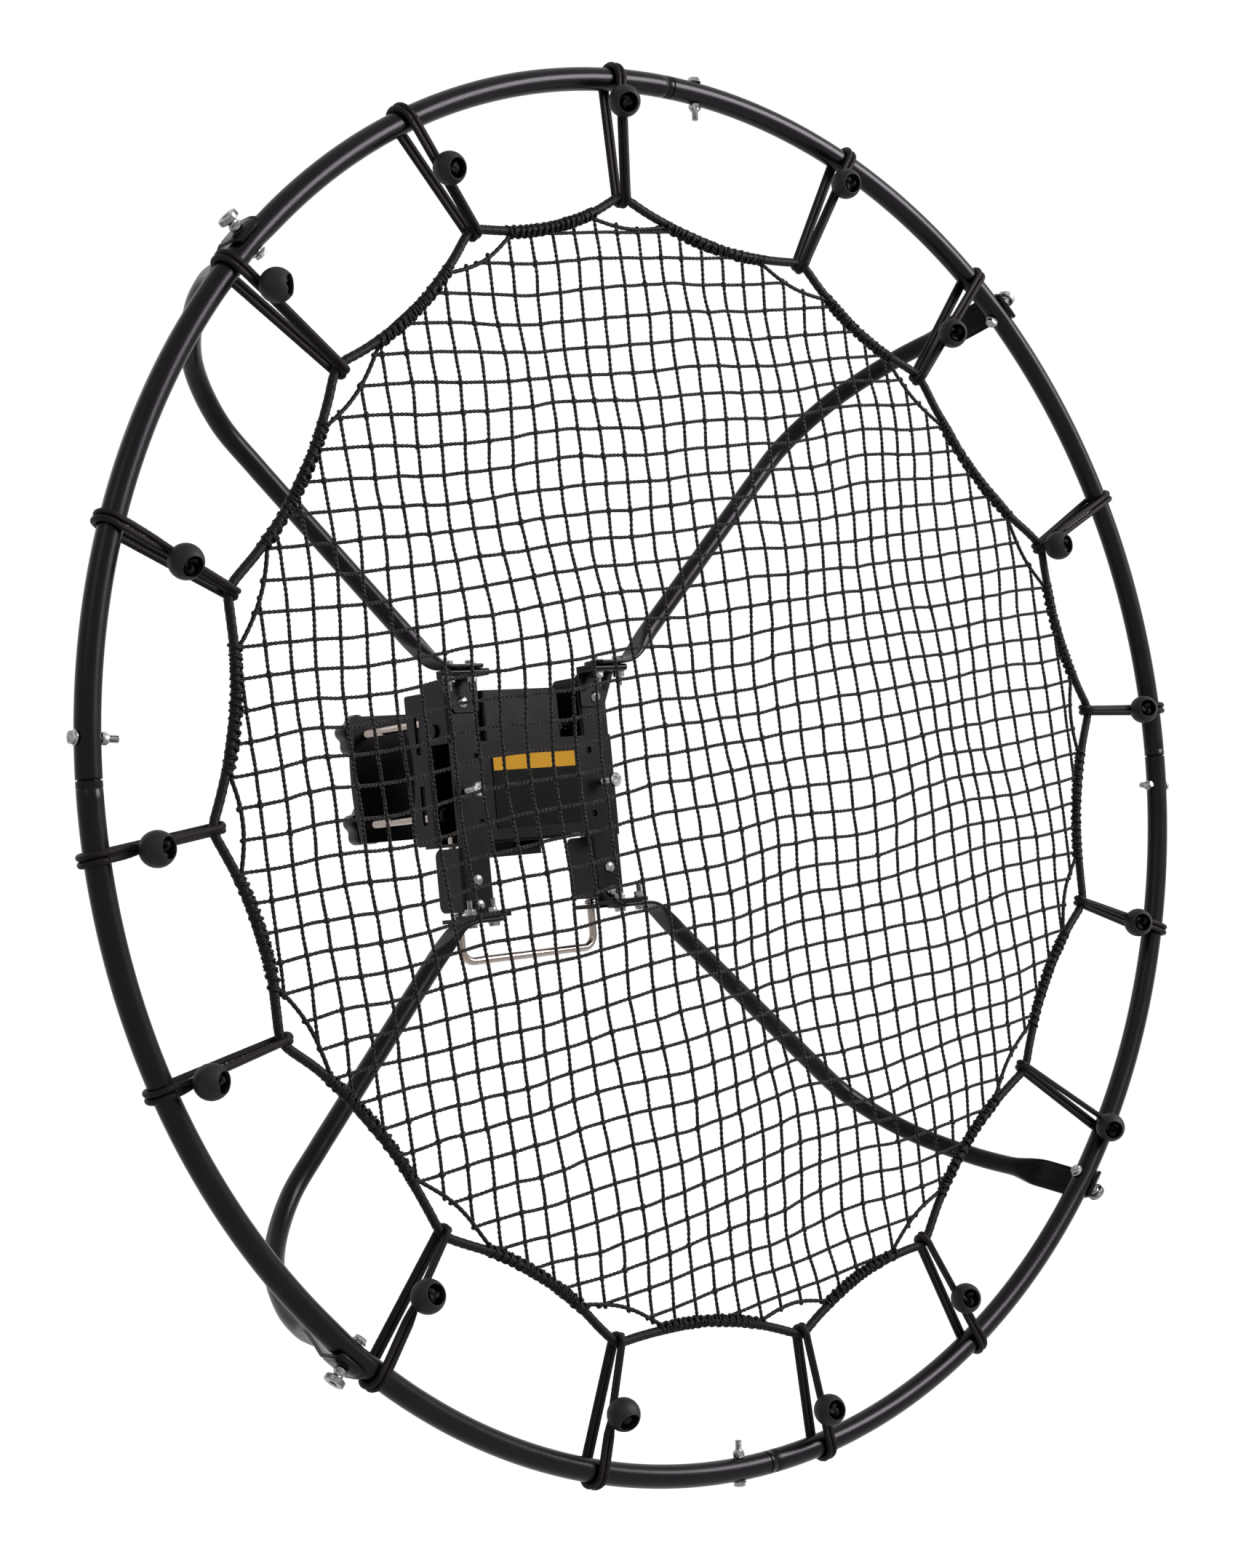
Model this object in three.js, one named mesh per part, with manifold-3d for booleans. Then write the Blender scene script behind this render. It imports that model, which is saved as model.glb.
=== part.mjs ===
// A round rebounding net that clamps to the post of a basketball hoop.
// Millimetres. +X is right as seen from the front, -Y is the front, +Z is up.
// The origin is on the pole face of the front jaw, at the jaw's middle.
import * as THREE from "three";
import { mergeVertices } from "three/addons/utils/BufferGeometryUtils.js";
import Module from "manifold-3d";

const wasm = await Module();
wasm.setup();

// Clearances and overruns
const GAP = 0.3; // between pieces that touch
const HOLE_PLAY = 0.8; // a hole's diameter over its bolt's
const OVERRUN = 2; // how far a cutting tool runs past what it cuts
const BITE = 0.5; // how deep two joined shapes share material
const SNAP = 0.0001; // points closer than this are one point

// Ring: four tube quarters, each with a swaged end
const RING_DIAMETER = 1300;
const RING_TUBE = 21;
const RING_WALL = 1.5;
const RING_AHEAD = 345; // pole face to the ring's plane
const RING_DROP = 30.5; // jaw's middle down to the ring's centre
const QUARTERS = 4;
const QUARTER_STEPS = 16; // straight steps that stand for a quarter's curve
const SEAM_TURN_DEG = -1.9; // turn of the seams from the axes
const SWAGE_LENGTH = 50;
const SHOULDER_LENGTH = 6;
const SEAM_TO_BOLT = 33;
const SEAM_GAP = 1; // between the square-cut end and the next quarter

// Threaded fasteners
const M6 = 6;
const M6_FLATS = 10;
const M6_HEAD = 4;
const M6_NUT = 6;
const M6_SPARE_THREAD = 9; // thread past the nut
const M8 = 8;
const M8_HEAD = 18;
const M8_HEAD_TOP = 12;
const M8_HEAD_HEIGHT = 3;
const DOME_DIAMETER = 12;
const DOME_TOP = 7;
const DOME_HEIGHT = 3;

// Arms: bent tube, flattened at both ends
const ARM_TUBE = 19;
const ARM_WALL = 1.5;
const ARM_FLAT = 4; // both walls pressed together
const ARM_PAD_WIDTH = 32; // flat end outside the ring
const ARM_PAD_AHEAD = 17; // past the bolt, to the front
const ARM_PAD_BEHIND = 14;
const ARM_SLIT = 1; // slit left between the pressed walls
const ARM_BEND_STEPS = 8;
const TAB_NECK = 46; // length over which the tube is pressed into the tab
// the bent run, as shares of the pad's distance from the tab and of the ring's distance from it
const ARM_COURSE_SHARES = [[0.033, 0.194], [0.09, 0.504], [0.188, 0.775], [0.32, 0.922], [0.445, 0.95]];
const TAB_WIDTH = 30;
const TAB_TIP = 72; // from the middle plane to the tab's inner end
const TAB_BEND = 121; // from the middle plane to where the tab turns up

// Tilt frame: a plate folded into two channel legs and a web
const FRAME_AHEAD = 71; // pole face to the front face
const PLATE = 3;
const LEG_INNER = 65;
const LEG_WIDTH = 37;
const LEG_TOP = 85;
const LEG_BOTTOM = 149;
const WEB_TOP = 21.5;
const WEB_BOTTOM = 77.5;
const CHEEK_DEPTH = 43;
const CHEEK_RADIUS = 8;
const CHEEK_END_GAP = 3; // from the leg's end to the cheek's
const CHEEK_CLEARANCE = 2; // between the lower cheeks and the lock plate
const SPARE_HOLE = 7;
const SPARE_HOLE_OUT = 72;
const SPARE_HOLE_TOP = 6.5;
const SPARE_HOLE_BOTTOM = 59;

// Angle brackets between the arms and the legs
const BRACKET_AHEAD = 27; // flange reach in front of the plate
const BRACKET_PLATE = 3;
const FLANGE = 4;
const UPPER_FLANGE = 7; // folded double
const UPPER_BRACKET_TOP_WIDTH = 46;
const UPPER_BRACKET_FOOT_WIDTH = 30;
const UPPER_BRACKET_DROP = 34;
const PAIR_INNER = 80.5; // the two bolts of a tab, from the middle plane
const PAIR_PITCH = 27.5;
const PAIR_AHEAD = 16; // in front of the frame's front face
const PAN_DROP = 24; // under the leg's top
const DOME_LOW = 8.5; // above the leg's bottom
const DOME_PITCH = 25;
const LUG_WIDTH = 29;
const LUG_BEHIND = 51; // frame's front face to the lug's rear edge

// Lock handle: a U of rod with two sprung pins
const ROD = 8;
const PIN_OUT = 84.4;
const PIN_BEHIND = 37; // behind the frame's front face
const HANDLE_DROP = 196.5; // origin to the cross bar's axis
const HANDLE_RADIUS = 14;
const PIN_TOP = 70.5; // origin down to the pin's tip
const CLIP_DIAMETER = 13;
const CLIP_THICKNESS = 1.6;
const SPRING_LENGTH = 18;
const SPRING_WIRE = 1.4;
const SPRING_TURNS = 4;
const SPRING_STEPS = 8; // straight steps in a turn

// Mount box and front jaw, one welded piece
const BOX_AHEAD = 58;
const BOX_TOP = 73.5;
const BOX_BOTTOM = 76;
const JAW_PLATE = 3;
const JAW_WIDTH = 160;
const JAW_HEIGHT = 155;
const BOX_INSET = 30; // jaw side to box side
const BOX_WIDTH = JAW_WIDTH - 2 * BOX_INSET;
const JAW_CHEEK = 33;
const JAW_HOLLOW = 6;
const SLOT_LENGTH = 43;
const SLOT_WIDTH = 8;
const SLOT_OFF = 36;
const SLOT_BEHIND = 15; // pole face to the slot's middle
const TILT_SHAFT = 8;
const TILT_AHEAD = 45; // pole face to the hinge axis
const TILT_UP = 35.5;
const TILT_MAX_DEG = 10;
const SHAFT_HEAD = 14;
const SHAFT_HEAD_THICKNESS = 3;
const LOCK_PLATE = 3;
const LOCK_WIDTH = 192;

// Clamp
const POLE_SPACE = 127;
const CLAMP_BOLT_INSET = 14; // jaw side to bolt axis
const CLAMP_BOLT_DROP = 29.5; // jaw top to bolt axis
const CLAMP_BOLT_OUT = JAW_WIDTH / 2 - CLAMP_BOLT_INSET;
const CLAMP_BOLT_UP = JAW_HEIGHT / 2 - CLAMP_BOLT_DROP;
const REAR_PLATE = 4;
const REAR_INSET = 10.5; // front jaw end to rear jaw end
const REAR_WIDTH = JAW_WIDTH;
const REAR_HEIGHT = JAW_HEIGHT - 2 * REAR_INSET;
const REAR_BULGE = 6;
const REAR_RIM = 9;
const KNOB_DIAMETER = 45;
const KNOB_THICKNESS = 18;
const KNOB_HUB = 22;
const KNOB_HUB_LENGTH = 9;
const KNOB_LOBES = 5;
const KNOB_LOBE_DEPTH = 3.5;
const LOBE_STEPS = 4;
const BOLT_SPARE = 14; // clamp bolt past the rear jaw's back at rest

// Thumb screws and thumb nuts
const THUMB_OUT = 87;
const THUMB_UP = -26.5;
const THUMB_REACH = 18;
const THUMB_TAIL = 9;
const THUMB_HEAD = 14.5;
const THUMB_HEAD_THICKNESS = 4;
const NUT_COLLAR = 4;
const NUT_NECK = 4;
const NUT_DISC = 18;
const NUT_DISC_THICKNESS = 5.5;
const NUT_FILL_SHARE = 0.7; // share of the nut's length that its bolt fills

// Blank label panel
const LABEL_WIDTH = 107;
const LABEL_HEIGHT = 75;
const LABEL_THICKNESS = 0.6;
const LABEL_DROP = 29;

// Net: square mesh in a scalloped border, hung on sixteen ball bungees
const NET_CORD = 2.6;
const NET_PITCH = 101.6; // every fourth cord of the weave
const NET_TURN_DEG = 3.5;
const BORDER_ROPE = 7;
const SCALLOP_SHARE = 0.075; // how far a border span bows in, as a share of its chord
const SCALLOP_STEPS = 4;
const SELVAGE_SHARE = 0.22; // where the selvage leaves the border, along a span
const SADDLE = 3.5; // the border's dip where a bungee holds it
const CORD = 5;
const BALL = 29.5;
const BALL_SINK = 2; // how far the cord runs into the ball
const WRAP_EASE = 0.15; // slack of a bungee's loop round the ring
const BUNGEES = 16;
const BALL_SIDES = 8;
const BALL_RINGS = 5;
// degrees past the even spacing, at the ring and at the net
const RING_SHIFTS_DEG = [2.7, 1.3, 4.3, 0.1, 4.2, 4.2, 2.7, 2.4, 3.4, -2.2, 2.6, 2.5, 4.5, 1.9, 5.7, 3.6];
const NET_SHIFTS_DEG = [3.5, 0.7, 4.6, 2.8, 5.3, 2.6, 2.0, 4.1, 2.5, -0.8, 1.6, 2.6, 4.1, 1.3, 4.2, 3.7];
// a net corner's radius as a share of the ring's, and the ball's place along the bungee
const CORNER_SHARES = [
  0.842, 0.83, 0.786, 0.807, 0.833, 0.836, 0.812, 0.82, 0.841, 0.83, 0.809, 0.832, 0.839, 0.819, 0.79, 0.823,
];
const BALL_SHARES = [
  0.61, 0.14, 0.37, 0.68, 0.72, 0.5, 0.7, 0.54, 0.62, 0.72, 0.43, 0.52, 0.62, 0.52, 0.76, 0.54,
];

// Counts of sides
const TUBE_SIDES = 8;
const ROUND_SIDES = 8;
const SHANK_SIDES = 6;
const KNURL_SIDES = 10;

// Worked-out places
const ringRadius = (RING_DIAMETER - RING_TUBE) / 2;
const ringOut = RING_TUBE / 2 + GAP;
const ringQuarterTurn = (2 * Math.PI) / QUARTERS;
const ringStep = ringQuarterTurn / QUARTER_STEPS;
const firstSeam = Math.PI / 2 + THREE.MathUtils.degToRad(SEAM_TURN_DEG);
const padOut = ringOut + ARM_FLAT / 2;
const nutSeat = ringOut + ARM_FLAT + GAP;
const legOuter = LEG_INNER + LEG_WIDTH;
const frameBack = -FRAME_AHEAD + PLATE;
const bracketFront = -FRAME_AHEAD - GAP - BRACKET_PLATE;
const pairY = -FRAME_AHEAD - PAIR_AHEAD;
const pairPlaces = [PAIR_INNER, PAIR_INNER + PAIR_PITCH];
const pinY = -FRAME_AHEAD + PIN_BEHIND;
const lugTop = -LEG_BOTTOM - GAP - FLANGE + BITE;
const clipBottom = lugTop + GAP + SPRING_LENGTH + GAP;
const lockTop = -WEB_BOTTOM;
const lockBottom = lockTop - LOCK_PLATE;
const rearBack = POLE_SPACE + REAR_PLATE;
const clampPlaces = [
  ["upper_left", -CLAMP_BOLT_OUT, CLAMP_BOLT_UP],
  ["upper_right", CLAMP_BOLT_OUT, CLAMP_BOLT_UP],
  ["lower_left", -CLAMP_BOLT_OUT, -CLAMP_BOLT_UP],
  ["lower_right", CLAMP_BOLT_OUT, -CLAMP_BOLT_UP],
];
const X = new THREE.Vector3(1, 0, 0);
const Y = new THREE.Vector3(0, 1, 0);
const Z = new THREE.Vector3(0, 0, 1);
const at = (x, y, z) => new THREE.Vector3(x, y, z);

// Materials
const finish = (color, roughness, metalness) => new THREE.MeshStandardMaterial({ color, roughness, metalness });
const powderCoat = () => finish(0x1b1a1f, 0.45, 0.3);
const zinc = () => finish(0xb9bbc0, 0.3, 0.9);
const plastic = () => finish(0x121212, 0.6, 0);
const rope = () => finish(0x161616, 0.9, 0);
const printed = () => finish(0x1d1c1e, 0.55, 0);

const passback = new THREE.Group();

// Geometry helpers

// A closed geometry as a manifold solid.
function solid(geometry) {
  geometry.deleteAttribute("normal");
  geometry.deleteAttribute("uv");
  const merged = mergeVertices(geometry, SNAP);
  return new wasm.Manifold(new wasm.Mesh({
    numProp: 3,
    vertProperties: new Float32Array(merged.attributes.position.array),
    triVerts: new Uint32Array(merged.index.array),
  }));
}

function join(first, ...others) {
  return others.reduce((sum, other) => sum.add(other), first);
}

function cut(first, ...tools) {
  return tools.reduce((rest, tool) => rest.subtract(tool), first);
}

// Adds a solid to the object as a named mesh.
function piece(name, body, material) {
  const data = body.getMesh();
  const geometry = new THREE.BufferGeometry();
  geometry.setAttribute("position", new THREE.BufferAttribute(new Float32Array(data.vertProperties), 3));
  geometry.setIndex(new THREE.BufferAttribute(new Uint32Array(data.triVerts), 1));
  geometry.computeVertexNormals();
  const node = new THREE.Mesh(geometry, material);
  node.name = name;
  passback.add(node);
}

// A box between two corners, whichever way round they come.
function block(x0, x1, y0, y1, z0, z1) {
  const box = new THREE.BoxGeometry(Math.abs(x1 - x0), Math.abs(y1 - y0), Math.abs(z1 - z0));
  return solid(box.translate((x0 + x1) / 2, (y0 + y1) / 2, (z0 + z1) / 2));
}

// A straight bar between two points, which may taper.
function bar(from, to, radius, sides = ROUND_SIDES, endRadius = radius) {
  const span = to.clone().sub(from);
  const shape = new THREE.CylinderGeometry(endRadius, radius, span.length(), sides);
  shape.applyQuaternion(new THREE.Quaternion().setFromUnitVectors(Y, span.normalize()));
  return solid(shape.translate(...from.clone().add(to).divideScalar(2).toArray()));
}

// A hexagon bar of the given width across flats.
function hex(from, to, flats) {
  return bar(from, to, flats / Math.sqrt(3), 6);
}

// An outline in X and Z, thick from its front toward the back.
function frontPlate(shape, front, thickness) {
  const plate = new THREE.ExtrudeGeometry(shape, { depth: thickness, bevelEnabled: false, curveSegments: 2 });
  plate.applyMatrix4(new THREE.Matrix4().makeBasis(X, Z, Y.clone().negate()));
  return solid(plate.translate(0, front + thickness, 0));
}

// An outline in Y and Z, thick from its left toward the right.
function sidePlate(shape, left, thickness) {
  const plate = new THREE.ExtrudeGeometry(shape, { depth: thickness, bevelEnabled: false, curveSegments: 2 });
  plate.applyMatrix4(new THREE.Matrix4().makeBasis(Y, Z, X));
  return solid(plate.translate(left, 0, 0));
}

function polygon(points) {
  return new THREE.Shape(points.map(([a, b]) => new THREE.Vector2(a, b)));
}

// A closed skin over rings of points; a loop's last ring joins its first.
function skin(rings, loop = false) {
  const sides = rings[0].length;
  const faces = [];
  const spans = loop ? rings.length : rings.length - 1;
  for (let k = 0; k < spans; k += 1) {
    const here = k * sides;
    const next = ((k + 1) % rings.length) * sides;
    for (let i = 0; i < sides; i += 1) {
      const j = (i + 1) % sides;
      faces.push([here + i, here + j, next + j], [here + i, next + j, next + i]);
    }
  }
  const last = (rings.length - 1) * sides;
  for (let i = 1; i < sides - 1 && !loop; i += 1) {
    faces.push([0, i + 1, i], [last, last + i, last + i + 1]);
  }
  const geometry = new THREE.BufferGeometry();
  const places = rings.flat().flatMap((point) => point.toArray());
  geometry.setAttribute("position", new THREE.Float32BufferAttribute(places, 3));
  const close = (list) => solid(geometry.setIndex(list.flat()));
  const body = close(faces);
  return body.volume() > 0 ? body : close(faces.map((face) => face.reverse()));
}

// A ring of points round a centre, on two axes.
function section(centre, u, v, sides, square = false) {
  return [...Array(sides).keys()].map((i) => {
    const turn = ((i + 0.5) / sides) * 2 * Math.PI;
    const [c, s] = [Math.cos(turn), Math.sin(turn)];
    const stretch = square ? 1 / Math.max(Math.abs(c), Math.abs(s)) : 1;
    return centre.clone().addScaledVector(u, c * stretch).addScaledVector(v, s * stretch);
  });
}

// Sections along a flat path, mitred at its corners; `normal` stands square to the path.
function sections(path, normal, radius, sides) {
  return path.map((point, k) => {
    const before = point.clone().sub(path[Math.max(k - 1, 0)]).normalize();
    const after = path[Math.min(k + 1, path.length - 1)].clone().sub(point).normalize();
    const along = before.clone().add(after).normalize();
    const ends = k === 0 || k === path.length - 1;
    const out = new THREE.Vector3().crossVectors(along, normal);
    return section(
      point,
      out.multiplyScalar(ends ? radius : radius / along.dot(after)),
      normal.clone().multiplyScalar(radius),
      sides,
    );
  });
}

// A round bar along a flat path.
function sweep(path, normal, radius, sides = ROUND_SIDES) {
  return skin(sections(path, normal, radius, sides));
}

// Places on the ring

// A point by its angle and radius about the ring's centre, and its place behind the ring.
function polar(angle, radius, behind = 0) {
  return at(radius * Math.cos(angle), behind - RING_AHEAD, radius * Math.sin(angle) - RING_DROP);
}

// The ring's radius at an angle: the ring is made of straight steps.
function ringReach(angle) {
  const phase = THREE.MathUtils.euclideanModulo(angle - firstSeam, ringStep) - ringStep / 2;
  return (ringRadius * Math.cos(ringStep / 2)) / Math.cos(phase);
}

// A point outside the ring's centre line, or inside it when `out` is negative.
function offRing(angle, out) {
  return polar(angle, ringReach(angle) + out);
}

// The ring's centre line, clockwise between two angles.
function ringPath(from, to) {
  const angles = [from];
  const first = Math.floor((firstSeam - from) / ringStep) + 1;
  const last = Math.ceil((firstSeam - to) / ringStep - SNAP) - 1;
  for (let k = first; k <= last; k += 1) angles.push(firstSeam - k * ringStep);
  return [...angles, to].map((angle) => offRing(angle, 0));
}

function arcAngle(length) {
  return length / ringRadius;
}

// Pieces of the ring

// A quarter of the ring: square cut at its start, swaged at its clockwise end.
function ringQuarter(index) {
  const start = firstSeam - index * ringQuarterTurn;
  const end = start - ringQuarterTurn;
  const bore = RING_TUBE / 2 - RING_WALL;
  const neck = bore - GAP;
  const shoulder = end + arcAngle(SHOULDER_LENGTH);
  const tip = end - arcAngle(SWAGE_LENGTH);
  const past = arcAngle(OVERRUN);
  const course = ringPath(start - arcAngle(SEAM_GAP), end - ringStep);
  const tube = skin(sections(course, Y, RING_TUBE / 2, TUBE_SIDES).slice(0, -1));
  const socket = sweep(ringPath(start + past, shoulder), Y, bore, SHANK_SIDES);
  const swage = sweep(ringPath(shoulder, tip), Y, neck, SHANK_SIDES);
  const hollow = sweep(ringPath(shoulder + past, tip - past), Y, neck - RING_WALL, SHANK_SIDES);
  const middle = start - ringQuarterTurn / 2 - THREE.MathUtils.degToRad(SEAM_TURN_DEG);
  const holes = [start - arcAngle(SEAM_TO_BOLT), end - arcAngle(SEAM_TO_BOLT), middle].map((angle) => bar(
    offRing(angle, -ringOut - OVERRUN),
    offRing(angle, ringOut + OVERRUN),
    (M6 + HOLE_PLAY) / 2,
    SHANK_SIDES,
  ));
  return cut(join(cut(tube, socket), swage), hollow, ...holes);
}

// The hex bolt and nut through a ring joint, head outside.
function ringBolt(index) {
  const angle = firstSeam - index * ringQuarterTurn - arcAngle(SEAM_TO_BOLT);
  const off = (out) => offRing(angle, out);
  const nutEnd = -ringOut - M6_NUT;
  return join(
    bar(off(nutEnd - M6_SPARE_THREAD), off(ringOut + BITE), M6 / 2, SHANK_SIDES),
    hex(off(ringOut), off(ringOut + M6_HEAD), M6_FLATS),
    hex(off(nutEnd), off(-ringOut), M6_FLATS),
  );
}

// Arms

// Where an arm's flat tab lies: above the upper bracket's flange or under the lower one's.
function tabLevel(level) {
  const half = ARM_FLAT / 2;
  return level > 0 ? LEG_TOP + GAP + UPPER_FLANGE + GAP + half : -LEG_BOTTOM - GAP - FLANGE - GAP - half;
}

// The course of an arm's centre from its pad at the ring to the end of its straight run.
function armRun(side, level) {
  const pad = offRing(Math.atan2(level, side), padOut);
  const bend = at(side * TAB_BEND, pairY, tabLevel(level));
  const depth = pairY + RING_AHEAD;
  const flat = at(bend.x - pad.x, 0, bend.z - pad.z);
  const inward = flat.clone().normalize();
  const off = ([reachShare, depthShare]) => pad.clone()
    .addScaledVector(flat, reachShare)
    .addScaledVector(Y, depth * depthShare);
  const padEnd = pad.clone().addScaledVector(Y, ARM_PAD_BEHIND);
  const course = new THREE.CatmullRomCurve3([padEnd, ...ARM_COURSE_SHARES.map(off)]);
  return { pad, padEnd, bend, inward, course };
}

// An arm's sections: flat pad, round bent tube, flat tab. `inset` thins them for the bore.
function armSections(side, level, inset, past, sides) {
  const { pad, padEnd, bend, inward, course } = armRun(side, level);
  const across = new THREE.Vector3().crossVectors(inward, Y);
  const thin = Math.max(ARM_FLAT / 2 - inset, ARM_SLIT / 2);
  const tube = ARM_TUBE / 2 - inset;
  const place = (centre, along, acrossHalf, otherHalf, square) => {
    const u = new THREE.Vector3().crossVectors(along, Y);
    if (u.length() < SNAP) u.copy(across);
    u.normalize();
    const v = new THREE.Vector3().crossVectors(along, across).normalize();
    if (square && otherHalf > acrossHalf) v.set(0, Math.sign(v.y), 0);
    return section(centre, u.multiplyScalar(acrossHalf), v.multiplyScalar(otherHalf), sides, square);
  };
  const padHalf = ARM_PAD_WIDTH / 2 - inset;
  const tabHalf = TAB_WIDTH / 2 - inset;
  const front = pad.clone().addScaledVector(Y, -ARM_PAD_AHEAD - past);
  const rings = [place(front, Y, padHalf, thin, true), place(padEnd, Y, padHalf, thin, true)];
  for (let k = 1; k <= ARM_BEND_STEPS; k += 1) {
    const share = k / ARM_BEND_STEPS;
    rings.push(place(course.getPointAt(share), course.getTangentAt(share), tube, tube, false));
  }
  const runEnd = bend.clone().addScaledVector(inward, -TAB_NECK);
  const tabAxis = at(-side, 0, 0);
  const corner = inward.clone().add(tabAxis).normalize();
  const tip = at(side * TAB_TIP, bend.y, bend.z).addScaledVector(tabAxis, past);
  rings.push(place(runEnd, inward, tube, tube, false));
  rings.push(place(bend, corner, thin, tabHalf, true));
  rings.push(place(tip, tabAxis, thin, tabHalf, true));
  return rings;
}

function arm(side, level) {
  const body = skin(armSections(side, level, 0, 0, TUBE_SIDES));
  const bore = skin(armSections(side, level, ARM_WALL, OVERRUN, SHANK_SIDES));
  const angle = Math.atan2(level, side);
  const deep = ARM_FLAT + OVERRUN;
  const padHole = bar(
    offRing(angle, padOut - deep),
    offRing(angle, padOut + deep),
    (M6 + HOLE_PLAY) / 2,
    SHANK_SIDES,
  );
  const tabHoles = pairPlaces.map((out) => bar(
    at(side * out, pairY, tabLevel(level) - deep),
    at(side * out, pairY, tabLevel(level) + deep),
    (M6 + HOLE_PLAY) / 2,
    SHANK_SIDES,
  ));
  return cut(body, bore, padHole, ...tabHoles);
}

// The radial bolt of an arm: head inside the ring, thread outside for the thumb nut.
function armBolt(side, level) {
  const off = (out) => offRing(Math.atan2(level, side), out);
  const nutLength = NUT_COLLAR + NUT_NECK + NUT_DISC_THICKNESS;
  return join(
    bar(off(-ringOut - BITE), off(nutSeat + nutLength * NUT_FILL_SHARE), M6 / 2, SHANK_SIDES),
    hex(off(-ringOut - M6_HEAD), off(-ringOut), M6_FLATS),
  );
}

// The thumb nut outside the ring: hex collar, neck and knurled disc.
function thumbNut(side, level) {
  const off = (out) => offRing(Math.atan2(level, side), out);
  const neck = nutSeat + NUT_COLLAR;
  const disc = neck + NUT_NECK;
  const end = disc + NUT_DISC_THICKNESS;
  const body = join(
    hex(off(nutSeat), off(neck), M6_FLATS),
    bar(off(neck - BITE), off(disc + BITE), M6_FLATS / 2),
    bar(off(disc), off(end), NUT_DISC / 2, KNURL_SIDES),
  );
  return cut(body, bar(off(nutSeat - OVERRUN), off(end + OVERRUN), (M6 + HOLE_PLAY) / 2));
}

// Tilt frame and its brackets

// A folded cheek with rounded rear corners.
function cheek(left, low, high) {
  const front = -FRAME_AHEAD + PLATE / 2;
  const back = -FRAME_AHEAD + CHEEK_DEPTH;
  const shape = new THREE.Shape();
  shape.moveTo(front, low);
  shape.lineTo(back - CHEEK_RADIUS, low);
  shape.quadraticCurveTo(back, low, back, low + CHEEK_RADIUS);
  shape.lineTo(back, high - CHEEK_RADIUS);
  shape.quadraticCurveTo(back, high, back - CHEEK_RADIUS, high);
  shape.lineTo(front, high);
  return sidePlate(shape, left, PLATE);
}

// The holes of one leg's face, each with its place and width.
function legHoles(side) {
  return [
    [side * SPARE_HOLE_OUT, SPARE_HOLE_TOP, SPARE_HOLE, ROUND_SIDES],
    [side * SPARE_HOLE_OUT, -SPARE_HOLE_BOTTOM, SPARE_HOLE, ROUND_SIDES],
    [side * THUMB_OUT, THUMB_UP, M6 + HOLE_PLAY, ROUND_SIDES],
    [side * PIN_OUT, LEG_TOP - PAN_DROP, M6 + HOLE_PLAY, SHANK_SIDES],
    [side * PIN_OUT, -LEG_BOTTOM + DOME_LOW, M6 + HOLE_PLAY, SHANK_SIDES],
    [side * PIN_OUT, -LEG_BOTTOM + DOME_LOW + DOME_PITCH, M6 + HOLE_PLAY, SHANK_SIDES],
  ];
}

function tiltFrame() {
  const right = [
    [LEG_INNER, -WEB_BOTTOM], [LEG_INNER, -LEG_BOTTOM], [legOuter, -LEG_BOTTOM],
    [legOuter, LEG_TOP], [LEG_INNER, LEG_TOP], [LEG_INNER, WEB_TOP],
  ];
  const left = right.map(([x, z]) => [-x, z]).reverse();
  const face = frontPlate(polygon([...right, ...left]), -FRAME_AHEAD, PLATE);
  const cheeks = [-legOuter, -LEG_INNER - PLATE, LEG_INNER, legOuter - PLATE].flatMap((x) => [
    cheek(x, -LEG_BOTTOM + CHEEK_END_GAP, lockBottom - CHEEK_CLEARANCE),
    cheek(x, WEB_TOP, LEG_TOP - CHEEK_END_GAP),
  ]);
  const holes = [...legHoles(-1), ...legHoles(1)].map(([x, z, size, sides]) => bar(
    at(x, -FRAME_AHEAD - OVERRUN, z),
    at(x, frameBack + OVERRUN, z),
    size / 2,
    sides,
  ));
  const shaftHole = bar(
    at(-legOuter - OVERRUN, -TILT_AHEAD, TILT_UP),
    at(legOuter + OVERRUN, -TILT_AHEAD, TILT_UP),
    (TILT_SHAFT + HOLE_PLAY) / 2,
  );
  return cut(join(face, ...cheeks), shaftHole, ...holes);
}

// The two bolts that hold an arm's tab to a flange, with their nuts on the far side.
function tabBolts(side, level, tabFace, flangeFace) {
  return pairPlaces.map((out) => {
    const up = (z) => at(side * out, pairY, z);
    return join(
      bar(up(tabFace + level * BITE), up(flangeFace - level * (M6_NUT + M6_SPARE_THREAD)), M6 / 2, SHANK_SIDES),
      hex(up(tabFace), up(tabFace + level * M6_HEAD), M6_FLATS),
      hex(up(flangeFace), up(flangeFace - level * M6_NUT), M6_FLATS),
    );
  });
}

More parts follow.
